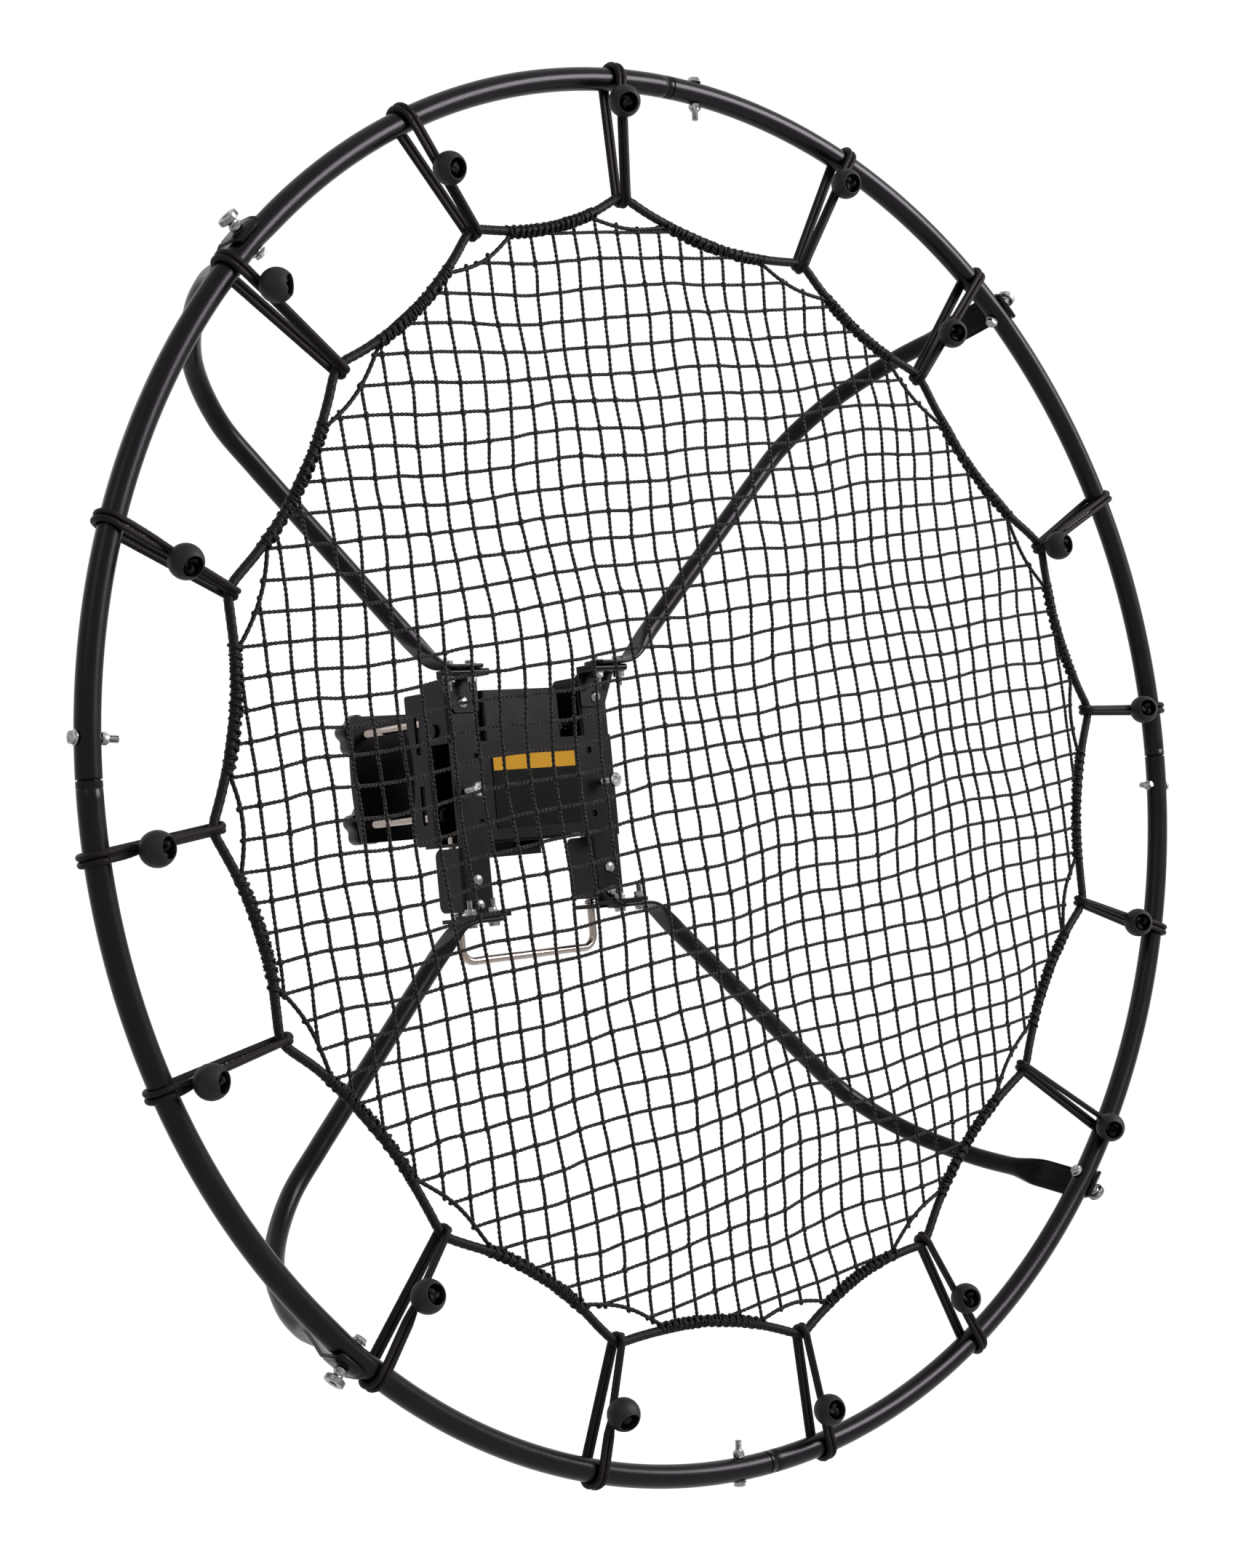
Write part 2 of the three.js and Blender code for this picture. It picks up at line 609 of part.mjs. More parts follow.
// Upper bracket: a tapered plate on the front of a leg, a flange under the arm, three bolts.
function upperBracket(side) {
  const low = LEG_TOP + GAP;
  const high = low + UPPER_FLANGE;
  const inner = LEG_INNER + GAP;
  const top = inner + UPPER_BRACKET_TOP_WIDTH;
  const foot = inner + UPPER_BRACKET_FOOT_WIDTH;
  const shape = polygon([
    [side * inner, LEG_TOP - UPPER_BRACKET_DROP], [side * foot, LEG_TOP - UPPER_BRACKET_DROP],
    [side * top, low], [side * top, high], [side * inner, high],
  ]);
  const across = (y) => at(side * PIN_OUT, y, LEG_TOP - PAN_DROP);
  const nutFace = frameBack + GAP;
  return join(
    frontPlate(shape, bracketFront, BRACKET_PLATE),
    block(side * inner, side * top, -FRAME_AHEAD - BRACKET_AHEAD, bracketFront + BRACKET_PLATE, low, high),
    bar(across(bracketFront - DOME_HEIGHT), across(bracketFront + BITE), DOME_TOP / 2, ROUND_SIDES, DOME_DIAMETER / 2),
    bar(across(bracketFront), across(nutFace + M6_NUT + OVERRUN), M6 / 2, SHANK_SIDES),
    hex(across(nutFace), across(nutFace + M6_NUT), M6_FLATS),
    ...tabBolts(side, 1, high + GAP + ARM_FLAT + GAP, low + BITE),
  );
}

// Lower bracket: a plate inside the leg, a flange over the arm, a lug that guides the lock pin.
function lowerBracket(side) {
  const top = -LEG_BOTTOM - GAP;
  const bottom = top - FLANGE;
  const inner = LEG_INNER + GAP;
  const wall = frameBack + GAP;
  const studLow = -LEG_BOTTOM + DOME_LOW;
  const studHigh = studLow + DOME_PITCH;
  const face = -FRAME_AHEAD - GAP;
  const studs = [studLow, studHigh].flatMap((z) => {
    const across = (y) => at(side * PIN_OUT, y, z);
    return [
      bar(across(face - DOME_HEIGHT), across(face), DOME_TOP / 2, ROUND_SIDES, DOME_DIAMETER / 2),
      bar(across(face - BITE), across(wall + BITE), M6 / 2, SHANK_SIDES),
    ];
  });
  const left = side * (LEG_INNER + PLATE + GAP);
  const right = side * (legOuter - PLATE - GAP);
  const flangeEnd = side * (inner + UPPER_BRACKET_TOP_WIDTH);
  const body = join(
    block(left, right, wall, wall + BRACKET_PLATE, bottom, studHigh + DOME_DIAMETER / 2),
    block(side * inner, flangeEnd, -FRAME_AHEAD - BRACKET_AHEAD, wall + BRACKET_PLATE, bottom, top),
    block(
      side * (PIN_OUT - LUG_WIDTH / 2), side * (PIN_OUT + LUG_WIDTH / 2),
      wall, -FRAME_AHEAD + LUG_BEHIND, lugTop - FLANGE, lugTop,
    ),
    ...studs,
    ...tabBolts(side, -1, bottom - GAP - ARM_FLAT - GAP, top - BITE),
  );
  const pinHole = bar(
    at(side * PIN_OUT, pinY, lugTop - FLANGE - OVERRUN),
    at(side * PIN_OUT, pinY, lugTop + OVERRUN),
    (ROD + HOLE_PLAY) / 2,
  );
  return cut(body, pinHole);
}

function thumbScrew(side) {
  const across = (y) => at(side * THUMB_OUT, y, THUMB_UP);
  const neck = -FRAME_AHEAD - THUMB_REACH;
  return join(
    bar(across(neck), across(frameBack + THUMB_TAIL), M6 / 2, SHANK_SIDES),
    bar(across(neck - THUMB_HEAD_THICKNESS), across(neck + BITE), THUMB_HEAD / 2, KNURL_SIDES),
  );
}

function labelPanel() {
  const face = -FRAME_AHEAD - GAP;
  const low = -LABEL_DROP - LABEL_HEIGHT / 2;
  return block(-LABEL_WIDTH / 2, LABEL_WIDTH / 2, face - LABEL_THICKNESS, face, low, low + LABEL_HEIGHT);
}

// Lock

// The U of rod: its two ends are the lock pins, each with a clip for its spring.
function lockHandle() {
  const low = -HANDLE_DROP + HANDLE_RADIUS;
  const inner = PIN_OUT - HANDLE_RADIUS;
  const bend = new THREE.QuadraticBezierCurve3(
    at(PIN_OUT, pinY, low),
    at(PIN_OUT, pinY, -HANDLE_DROP),
    at(inner, pinY, -HANDLE_DROP),
  ).getPoints(3);
  const right = [at(PIN_OUT, pinY, -PIN_TOP), ...bend];
  const left = right.map((point) => at(-point.x, point.y, point.z)).reverse();
  const clips = [-1, 1].map((side) => bar(
    at(side * PIN_OUT, pinY, clipBottom),
    at(side * PIN_OUT, pinY, clipBottom + CLIP_THICKNESS),
    CLIP_DIAMETER / 2,
  ));
  return join(sweep([...right, ...left], Y, ROD / 2), ...clips);
}

// The return spring between a lug and a pin's clip.
function lockSpring(side) {
  const coil = (ROD + HOLE_PLAY + SPRING_WIRE) / 2 + GAP;
  const count = SPRING_TURNS * SPRING_STEPS;
  const rings = [...Array(count + 1).keys()].map((i) => {
    const turn = (i / SPRING_STEPS) * 2 * Math.PI;
    const out = at(Math.cos(turn), Math.sin(turn), 0);
    const centre = at(side * PIN_OUT, pinY, lugTop + GAP + SPRING_WIRE / 2).addScaledVector(out, coil);
    centre.z += ((SPRING_LENGTH - SPRING_WIRE) * i) / count;
    return section(centre, out.multiplyScalar(SPRING_WIRE / 2), Z.clone().multiplyScalar(SPRING_WIRE / 2), 4);
  });
  return skin(rings);
}

// Mount and clamp

// A jaw cheek: its rear edge is hollowed for a round post, and it has two strap slots.
function jawCheek(left) {
  const half = JAW_HEIGHT / 2;
  const shape = new THREE.Shape();
  shape.moveTo(-JAW_PLATE, -half);
  shape.lineTo(JAW_CHEEK, -half);
  shape.lineTo(JAW_CHEEK, -half / 2);
  shape.quadraticCurveTo(JAW_CHEEK - 2 * JAW_HOLLOW, 0, JAW_CHEEK, half / 2);
  shape.lineTo(JAW_CHEEK, half);
  shape.lineTo(-JAW_PLATE, half);
  const slots = [-SLOT_OFF, SLOT_OFF].map((z) => block(
    left - OVERRUN, left + JAW_PLATE + OVERRUN,
    SLOT_BEHIND - SLOT_WIDTH / 2, SLOT_BEHIND + SLOT_WIDTH / 2,
    z - SLOT_LENGTH / 2, z + SLOT_LENGTH / 2,
  ));
  return cut(sidePlate(shape, left, JAW_PLATE), ...slots);
}

// How far forward the lock pins go, at the lock plate, when the frame is tilted back.
function pinSweep() {
  const tilt = THREE.MathUtils.degToRad(TILT_MAX_DEG);
  const drop = TILT_UP - lockBottom;
  return (TILT_AHEAD + pinY) * Math.cos(tilt) - drop * Math.sin(tilt) - TILT_AHEAD;
}

// The welded mount: front jaw, box and lock plate.
function mountJaw() {
  const [side, half] = [JAW_WIDTH / 2, BOX_WIDTH / 2];
  const root = -JAW_PLATE + BITE;
  const play = ROD / 2 + HOLE_PLAY;
  const body = join(
    block(-side, side, -JAW_PLATE, 0, -JAW_HEIGHT / 2, JAW_HEIGHT / 2),
    jawCheek(-side),
    jawCheek(side - JAW_PLATE),
    block(-half, half, -BOX_AHEAD, -BOX_AHEAD + PLATE, -BOX_BOTTOM, BOX_TOP),
    block(-half, -half + PLATE, -BOX_AHEAD + BITE, root, -BOX_BOTTOM, BOX_TOP),
    block(half - PLATE, half, -BOX_AHEAD + BITE, root, -BOX_BOTTOM, BOX_TOP),
    block(-LOCK_WIDTH / 2, LOCK_WIDTH / 2, pinSweep() - play - PLATE, root, lockBottom, lockTop),
    block(-half, half, -BOX_AHEAD, root, lockTop - BITE, -BOX_BOTTOM + BITE),
  );
  const pinSlots = [-PIN_OUT, PIN_OUT].map((x) => block(
    x - play, x + play, pinSweep() - play, pinY + play, lockBottom - OVERRUN, lockTop + OVERRUN,
  ));
  const shaftHole = bar(
    at(-half - OVERRUN, -TILT_AHEAD, TILT_UP),
    at(half + OVERRUN, -TILT_AHEAD, TILT_UP),
    TILT_SHAFT / 2 + GAP,
  );
  const boltHoles = clampPlaces.map(([, x, z]) => bar(
    at(x, -JAW_PLATE - OVERRUN, z),
    at(x, OVERRUN, z),
    M8 / 2 + GAP,
    SHANK_SIDES,
  ));
  return cut(body, shaftHole, ...pinSlots, ...boltHoles);
}

// The hinge shaft across both legs, headed at each end.
function tiltShaft() {
  const across = (x) => at(x, -TILT_AHEAD, TILT_UP);
  const end = legOuter + GAP;
  return join(
    bar(across(-end - BITE), across(end + BITE), TILT_SHAFT / 2),
    bar(across(-end - SHAFT_HEAD_THICKNESS), across(-end), SHAFT_HEAD / 2),
    bar(across(end), across(end + SHAFT_HEAD_THICKNESS), SHAFT_HEAD / 2),
  );
}

// The bowed outline of the rear jaw, `inset` from its sides.
function rearOutline(inset, half) {
  const side = REAR_WIDTH / 2 - inset;
  const shape = new THREE.Shape();
  shape.moveTo(-side, -half);
  shape.lineTo(side, -half);
  shape.quadraticCurveTo(side + 2 * REAR_BULGE, 0, side, half);
  shape.lineTo(-side, half);
  shape.quadraticCurveTo(-side - 2 * REAR_BULGE, 0, -side, -half);
  return shape;
}

// The rear jaw: a plate with a rim folded back along each side.
function rearJaw() {
  const half = REAR_HEIGHT / 2;
  const holes = clampPlaces.map(([, x, z]) => bar(
    at(x, POLE_SPACE - OVERRUN, z),
    at(x, rearBack + OVERRUN, z),
    (M8 + HOLE_PLAY) / 2,
  ));
  return cut(
    frontPlate(rearOutline(0, half), POLE_SPACE, REAR_RIM),
    frontPlate(rearOutline(REAR_PLATE, half + OVERRUN), rearBack, REAR_RIM),
    ...holes,
  );
}

// A clamp bolt: its low head lies in front of the front jaw.
function clampBolt(x, z) {
  const face = -JAW_PLATE - GAP;
  return join(
    bar(at(x, face - BITE, z), at(x, rearBack + KNOB_HUB_LENGTH + BOLT_SPARE, z), M8 / 2, SHANK_SIDES),
    bar(at(x, face - M8_HEAD_HEIGHT, z), at(x, face, z), M8_HEAD_TOP / 2, ROUND_SIDES, M8_HEAD / 2),
  );
}

// A lobed clamp knob with a hub toward the rear jaw.
function clampKnob(x, z) {
  const count = KNOB_LOBES * LOBE_STEPS;
  const rim = [...Array(count).keys()].map((i) => {
    const turn = (i / count) * 2 * Math.PI;
    const radius = KNOB_DIAMETER / 2 - (KNOB_LOBE_DEPTH / 2) * (1 - Math.cos(KNOB_LOBES * turn));
    return [x + radius * Math.sin(turn), z + radius * Math.cos(turn)];
  });
  const seat = rearBack + GAP;
  const hubEnd = seat + KNOB_HUB_LENGTH;
  const hole = bar(at(x, seat - OVERRUN, z), at(x, hubEnd + KNOB_THICKNESS + OVERRUN, z), (M8 + HOLE_PLAY) / 2);
  return cut(
    join(frontPlate(polygon(rim), hubEnd, KNOB_THICKNESS), bar(at(x, seat, z), at(x, hubEnd + BITE, z), KNOB_HUB / 2)),
    hole,
  );
}

// Net and bungees

function cornerAngle(index) {
  return THREE.MathUtils.degToRad((index * 360) / BUNGEES + NET_SHIFTS_DEG[index % BUNGEES]);
}

// The net's outline: spans that bow in between corners. `from` leaves out a share at each corner.
function netOutline(from, inset) {
  const corner = (k) => {
    const radius = ringRadius * CORNER_SHARES[k % BUNGEES];
    return new THREE.Vector2(radius * Math.cos(cornerAngle(k)), radius * Math.sin(cornerAngle(k)));
  };
  const points = [];
  for (let i = 0; i < BUNGEES; i += 1) {
    const start = corner(i);
    const chord = corner((i + 1) % BUNGEES).sub(start);
    const bow = new THREE.Vector2(-chord.y, chord.x).multiplyScalar(SCALLOP_SHARE);
    const steps = from > 0 ? SCALLOP_STEPS : SCALLOP_STEPS - 1;
    for (let k = 0; k <= steps; k += 1) {
      const share = from + ((1 - 2 * from) * k) / SCALLOP_STEPS;
      points.push(start.clone().addScaledVector(chord, share).addScaledVector(bow, 4 * share * (1 - share)));
    }
  }
  return points.map((point) => point.setLength(point.length() - inset));
}

// A flat solid in the ring's plane.
function inRing(points, thickness) {
  return frontPlate(new THREE.Shape(points), -thickness / 2, thickness).translate([0, -RING_AHEAD, -RING_DROP]);
}

function net() {
  const count = Math.floor(ringRadius / NET_PITCH);
  const turn = THREE.MathUtils.degToRad(NET_TURN_DEG);
  const strands = [];
  for (let i = -count; i <= count; i += 1) {
    for (const quarter of [0, Math.PI / 2]) {
      const strand = new THREE.BoxGeometry(NET_CORD, NET_CORD, RING_DIAMETER).translate(i * NET_PITCH, 0, 0);
      strands.push(solid(strand.rotateY(quarter - turn).translate(0, -RING_AHEAD, -RING_DROP)));
    }
  }
  const edge = netOutline(SELVAGE_SHARE, 0);
  const mesh = wasm.Manifold.union(strands).intersect(inRing(edge, NET_CORD + OVERRUN));
  const inner = netOutline(SELVAGE_SHARE, NET_CORD);
  const selvage = cut(inRing(edge, NET_CORD), inRing(inner, NET_CORD + OVERRUN));
  const border = cut(
    inRing(netOutline(0, -BORDER_ROPE / 2), BORDER_ROPE),
    inRing(netOutline(0, BORDER_ROPE / 2), BORDER_ROPE + OVERRUN),
  );
  return join(border, selvage, mesh);
}

// A ball bungee: doubled cord looped round the ring and the net's border, a ball on its front.
function bungee(index) {
  const ringAngle = THREE.MathUtils.degToRad((index * 360) / BUNGEES + RING_SHIFTS_DEG[index]);
  const hold = offRing(ringAngle, 0);
  const corner = polar(cornerAngle(index), ringRadius * CORNER_SHARES[index]);
  const outward = hold.clone().sub(corner).normalize();
  const across = new THREE.Vector3().crossVectors(outward, Y);
  const end = corner.clone().addScaledVector(outward, -SADDLE);
  const wide = ringOut + WRAP_EASE + CORD / 2;
  const narrow = BORDER_ROPE / 2 + GAP + CORD / 2;
  const lean = Math.asin((wide - narrow) / hold.distanceTo(end));
  const turns = (centre, radius, from, to, count) => [...Array(count).keys()].map((i) => {
    const step = (to - from) / count;
    const turn = from + step * (i + 0.5);
    return centre.clone()
      .addScaledVector(outward, (radius * Math.cos(turn)) / Math.cos(step / 2))
      .addScaledVector(Y, (radius * Math.sin(turn)) / Math.cos(step / 2));
  });
  const square = Math.PI / 2 + lean;
  const path = [
    ...turns(hold, wide, -square, square, 4),
    ...turns(end, narrow, square, 2 * Math.PI - square, 2),
  ];
  const rings = path.map((point, k) => {
    const before = point.clone().sub(path.at(k - 1)).normalize();
    const along = path[(k + 1) % path.length].clone().sub(point).normalize().add(before).normalize();
    const out = new THREE.Vector3().crossVectors(along, across).multiplyScalar(CORD / 2 / along.dot(before));
    return section(point, out, across.clone().multiplyScalar(CORD), 6, true);
  });
  const ball = new THREE.SphereGeometry(BALL / 2, BALL_SIDES, BALL_RINGS).rotateX(Math.PI / 2);
  const share = BALL_SHARES[index];
  const ahead = narrow + (wide - narrow) * share + BALL / 2 - BALL_SINK;
  const spot = end.clone().lerp(hold, share).addScaledVector(Y, -ahead);
  return join(skin(rings, true), solid(ball.translate(...spot.toArray())));
}

// Assembly
for (let i = 0; i < QUARTERS; i += 1) {
  piece(`ring_quarter_${i + 1}`, ringQuarter(i), powderCoat());
  piece(`ring_bolt_${i + 1}`, ringBolt(i), zinc());
}
for (const [place, side, level] of [
  ["upper_right", 1, 1], ["lower_right", 1, -1], ["lower_left", -1, -1], ["upper_left", -1, 1],
]) {
  piece(`arm_${place}`, arm(side, level), powderCoat());
  piece(`arm_bolt_${place}`, armBolt(side, level), zinc());
  piece(`thumb_nut_${place}`, thumbNut(side, level), zinc());
}
piece("tilt_frame", tiltFrame(), powderCoat());
piece("tilt_shaft", tiltShaft(), zinc());
piece("mount_jaw", mountJaw(), powderCoat());
piece("rear_jaw", rearJaw(), powderCoat());
piece("label_panel", labelPanel(), printed());
piece("lock_handle", lockHandle(), zinc());
for (const [place, side] of [["left", -1], ["right", 1]]) {
  piece(`upper_bracket_${place}`, upperBracket(side), powderCoat());
  piece(`lower_bracket_${place}`, lowerBracket(side), powderCoat());
  piece(`lock_spring_${place}`, lockSpring(side), zinc());
  piece(`thumb_screw_${place}`, thumbScrew(side), zinc());
}
for (const [place, x, z] of clampPlaces) {
  piece(`clamp_bolt_${place}`, clampBolt(x, z), zinc());
  piece(`clamp_knob_${place}`, clampKnob(x, z), plastic());
}
piece("net", net(), rope());
for (let i = 0; i < BUNGEES; i += 1) {
  piece(`bungee_${String(i + 1).padStart(2, "0")}`, bungee(i), rope());
}

export default passback;
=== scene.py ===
import math

import bmesh
import bpy
import numpy as np
from mathutils import Matrix, Vector, noise
from mathutils.geometry import tessellate_polygon


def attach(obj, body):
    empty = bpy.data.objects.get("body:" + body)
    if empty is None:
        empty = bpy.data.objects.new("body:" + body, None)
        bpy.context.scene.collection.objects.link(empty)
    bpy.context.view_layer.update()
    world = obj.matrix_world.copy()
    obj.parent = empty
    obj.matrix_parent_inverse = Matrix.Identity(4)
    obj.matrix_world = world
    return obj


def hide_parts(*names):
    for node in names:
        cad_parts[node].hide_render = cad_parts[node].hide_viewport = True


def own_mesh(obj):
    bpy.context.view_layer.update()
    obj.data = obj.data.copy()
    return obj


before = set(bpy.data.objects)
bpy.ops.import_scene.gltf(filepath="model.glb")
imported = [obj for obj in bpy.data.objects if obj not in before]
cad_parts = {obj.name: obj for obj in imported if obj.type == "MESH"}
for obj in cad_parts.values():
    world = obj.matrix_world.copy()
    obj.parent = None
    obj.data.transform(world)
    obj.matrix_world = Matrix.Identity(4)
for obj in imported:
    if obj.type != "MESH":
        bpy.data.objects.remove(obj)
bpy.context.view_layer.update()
scene = bpy.context.scene
scene.view_settings.view_transform = "Standard"

# Camera, floor and light. The camera stands low, ahead of the net and to its left.
# The floor is plain and pale. One large soft box ahead of the net and to its right lights it,
# with a weak lamp at the left and another behind.
CAMERA_RIGHT = Vector((0.7677, -0.6338, -0.0949))
CAMERA_UP = Vector((0.0556, -0.0816, 0.9951))
CAMERA_PLACE = Vector((-1.5318, -2.0593, -0.1023))
CAMERA_LENS = 56.96
FLOOR_LEVEL = -1.6
FLOOR_HALF = 14
FLOOR_GLOW = 1.19
GLOW_SHARE = 0.8
# name, place, what it points at, its two sides and its power
LAMPS = [
    ("soft box", (2.1, -2.75, 1.36), (0, -0.3, 0.05), (2.0, 1.5), 215),
    ("fill", (-2.6, -1.6, 1.7), (0, -0.2, 0), (1.2, 1.2), 9),
    ("rear light", (-1.2, 2.6, 2.0), (0, 0, 0), (1.6, 1.6), 7),
]


def put(tree, kind, inputs=None, **settings):
    """Adds a node. An input's value is a socket to link from, or a plain value."""
    node = tree.nodes.new(kind)
    for key, value in settings.items():
        setattr(node, key, value)
    for key, value in (inputs or {}).items():
        if isinstance(value, bpy.types.NodeSocket):
            tree.links.new(value, node.inputs[key])
        else:
            node.inputs[key].default_value = value
    return node


def math_node(tree, operation, *values):
    return put(tree, "ShaderNodeMath", dict(enumerate(values)), operation=operation).outputs[0]


def seen_directly(tree):
    """1 for rays from the camera and for rays that metal or glass send on."""
    path = put(tree, "ShaderNodeLightPath").outputs
    mirrored = math_node(tree, "MAXIMUM", path["Is Glossy Ray"], path["Is Transmission Ray"])
    return math_node(tree, "MAXIMUM", path["Is Camera Ray"], mirrored)


camera = bpy.data.objects.new("camera", bpy.data.cameras.new("camera"))
camera.data.sensor_fit = "VERTICAL"
camera.data.sensor_height = 36
camera.data.lens = CAMERA_LENS
camera.data.clip_start = 0.05
camera.data.clip_end = 60
camera_back = CAMERA_RIGHT.cross(CAMERA_UP)
camera.matrix_world = Matrix.Translation(CAMERA_PLACE) @ Matrix(
    (CAMERA_RIGHT, CAMERA_UP, camera_back)).transposed().to_4x4()
scene.collection.objects.link(camera)
scene.camera = camera

studio = bpy.data.worlds.new("studio")
studio.use_nodes = True
room = studio.node_tree
room.nodes.clear()
dim = put(room, "ShaderNodeBackground", {"Color": (0.95, 0.97, 1, 1), "Strength": 0.42})
white = put(room, "ShaderNodeBackground", {"Color": (1, 1, 1, 1), "Strength": 1})
both = put(room, "ShaderNodeMixShader", {
    0: seen_directly(room), 1: dim.outputs[0], 2: white.outputs[0]})
put(room, "ShaderNodeOutputWorld", {"Surface": both.outputs[0]})
scene.world = studio

floor_finish = bpy.data.materials.new("pale floor")
floor_finish.use_nodes = True
ground = floor_finish.node_tree
ground.nodes.clear()
grain = put(ground, "ShaderNodeTexNoise", {"Scale": 3, "Detail": 3})
tone = put(ground, "ShaderNodeMapRange", {
    "Value": grain.outputs[0], "To Min": 0.84, "To Max": 0.88})
matte = put(ground, "ShaderNodeBsdfDiffuse", {"Color": tone.outputs[0]})
glow = put(ground, "ShaderNodeEmission", {"Color": (1, 1, 1, 1), "Strength": FLOOR_GLOW})
share = math_node(ground, "MULTIPLY", seen_directly(ground), GLOW_SHARE)
cover = put(ground, "ShaderNodeMixShader", {0: share, 1: matte.outputs[0], 2: glow.outputs[0]})
put(ground, "ShaderNodeOutputMaterial", {"Surface": cover.outputs[0]})
floor_mesh = bpy.data.meshes.new("floor")
floor_mesh.from_pydata([(x * FLOOR_HALF, y * FLOOR_HALF, FLOOR_LEVEL) for x, y in (
    (-1, -1), (1, -1), (1, 1), (-1, 1))], [], [(0, 1, 2, 3)])
floor_mesh.materials.append(floor_finish)
floor = bpy.data.objects.new("floor", floor_mesh)
scene.collection.objects.link(floor)

for label, place, target, size, power in LAMPS:
    lamp = bpy.data.lights.new(label, "AREA")
    lamp.shape = "RECTANGLE"
    lamp.size = size[0]
    lamp.size_y = size[1]
    lamp.energy = power
    lamp_object = bpy.data.objects.new(label, lamp)
    lamp_object.location = place
    aim = (Vector(target) - Vector(place)).to_track_quat("-Z", "Y")
    lamp_object.rotation_euler = aim.to_euler()
    scene.collection.objects.link(lamp_object)

# Ring: four quarters of black powder-coated steel tube, 21 mm across.
# Each is cut square at one end and swaged at the other, where it slides into the next quarter.
# Each arm's bolt presses the tube a little flat under the arm's pad.
RING_RADIUS = 0.6395
RING_CENTRE = Vector((0, -0.345, -0.0305))
TUBE_HALF = 0.0105
BORE_HALF = 0.009
QUARTER = RING_RADIUS * math.pi / 2
FIRST_SEAM = math.radians(88.1)
QUARTER_SIDES = 36
QUARTER_STEP = 0.006
PRESS_REACH = 0.017
PRESS_OUTSIDE = 0.03
PRESS_INSIDE = 0.1
# how far along a quarter and how far out its skin lies, outside and then back along the bore
QUARTER_START = [(0.001, 0.0094), (0.001, 0.0101), (0.0014, TUBE_HALF)]
QUARTER_END = [
    (QUARTER - 0.0068, TUBE_HALF), (QUARTER - 0.0062, 0.0101), (QUARTER - 0.0056, TUBE_HALF),
    (QUARTER - 0.0005, TUBE_HALF), (QUARTER, 0.01), (QUARTER + 0.0002, 0.0089),
    (QUARTER + 0.001, 0.0087), (QUARTER + 0.0493, 0.0087), (QUARTER + 0.05, 0.0082),
    (QUARTER + 0.05, 0.0074), (QUARTER, 0.0072), (QUARTER - 0.01, 0.0072),
    (QUARTER - 0.02, BORE_HALF),
]
ARM_ANGLES = {"upper_right": 45, "lower_right": -45, "lower_left": -135, "upper_left": 135}


def new_tree(name, **inputs):
    """A tree of geometry nodes with named inputs, and the sockets that give them."""
    tree = bpy.data.node_groups.new(name, "GeometryNodeTree")
    tree.is_modifier = True
    tree.interface.new_socket("Geometry", in_out="INPUT", socket_type="NodeSocketGeometry")
    for label, kind in inputs.items():
        tree.interface.new_socket(label, in_out="INPUT", socket_type="NodeSocket" + kind)
    tree.interface.new_socket("Geometry", in_out="OUTPUT", socket_type="NodeSocketGeometry")
    return tree, tree.nodes.new("NodeGroupInput").outputs


def end_tree(tree, shape, finish):
    """Makes what a tree gives real, and sets its material."""
    real = put(tree, "GeometryNodeRealizeInstances", {"Geometry": shape})
    coated = put(tree, "GeometryNodeSetMaterial", {"Geometry": real.outputs[0], "Material": finish})
    put(tree, "NodeGroupOutput", {"Geometry": coated.outputs[0]})


def stand(name, mesh):
    """An object at the origin with its place in its mesh."""
    made = bpy.data.objects.new(name, mesh)
    scene.collection.objects.link(made)
    return made


def applied(piece):
    """The plain mesh that a piece's modifiers give; they are then removed."""
    ready = piece.evaluated_get(bpy.context.evaluated_depsgraph_get())
    mesh = bpy.data.meshes.new_from_object(ready)
    piece.modifiers.clear()
    return mesh


def formed(name, mesh, tree, **values):
    """The plain mesh object that a tree makes from `mesh`."""
    source = stand(name + "_source", mesh)
    modifier = source.modifiers.new("tree", "NODES")
    modifier.node_group = tree
    for item in tree.interface.items_tree:
        if item.in_out == "INPUT" and item.name in values:
            modifier[item.identifier] = values[item.name]
    made = stand(name, applied(source))
    bpy.data.objects.remove(source)
    return made


def turns_round(sides, start=0):
    """The angles of a section's points."""
    return (np.arange(sides) + start) / sides * 2 * math.pi


def skin_mesh(name, rings, loop=False):
    """A closed skin over rings of points; a loop's last ring joins its first."""
    rings = np.asarray(rings, float)
    count, sides = rings.shape[:2]
    faces = []
    for k in range(count if loop else count - 1):
        here, after = k * sides, (k + 1) % count * sides
        for i in range(sides):
            j = (i + 1) % sides
            faces.append((here + i, here + j, after + j, after + i))
    if not loop:
        faces.append(tuple(range(sides))[::-1])
        faces.append(tuple(range((count - 1) * sides, count * sides)))
    mesh = bpy.data.meshes.new(name)
    mesh.from_pydata(rings.reshape(-1, 3).tolist(), [], faces)
    return mesh


def face_outward(mesh, join_flat=False):
    """Turns a mesh's faces outward, and on request joins those that lie in one plane."""
    work = bmesh.new()
    work.from_mesh(mesh)
    bmesh.ops.recalc_face_normals(work, faces=work.faces)
    if join_flat:
        bmesh.ops.dissolve_limit(work, angle_limit=0.01, verts=work.verts, edges=work.edges)
    work.to_mesh(mesh)
    work.free()
    return mesh


def smooth(piece, angle=35):
    """Turns faces outward and shades the piece smooth up to an angle."""
    face_outward(piece.data).shade_smooth()
    piece.data.set_sharp_from_angle(angle=math.radians(angle))
    return piece


def settle(piece, body, slot, *nodes):
    """Fixes a finished piece to its body and hides the solids that it stands for; its finish's slot
    is not used.
    """
    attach(piece, body)
    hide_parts(*nodes)


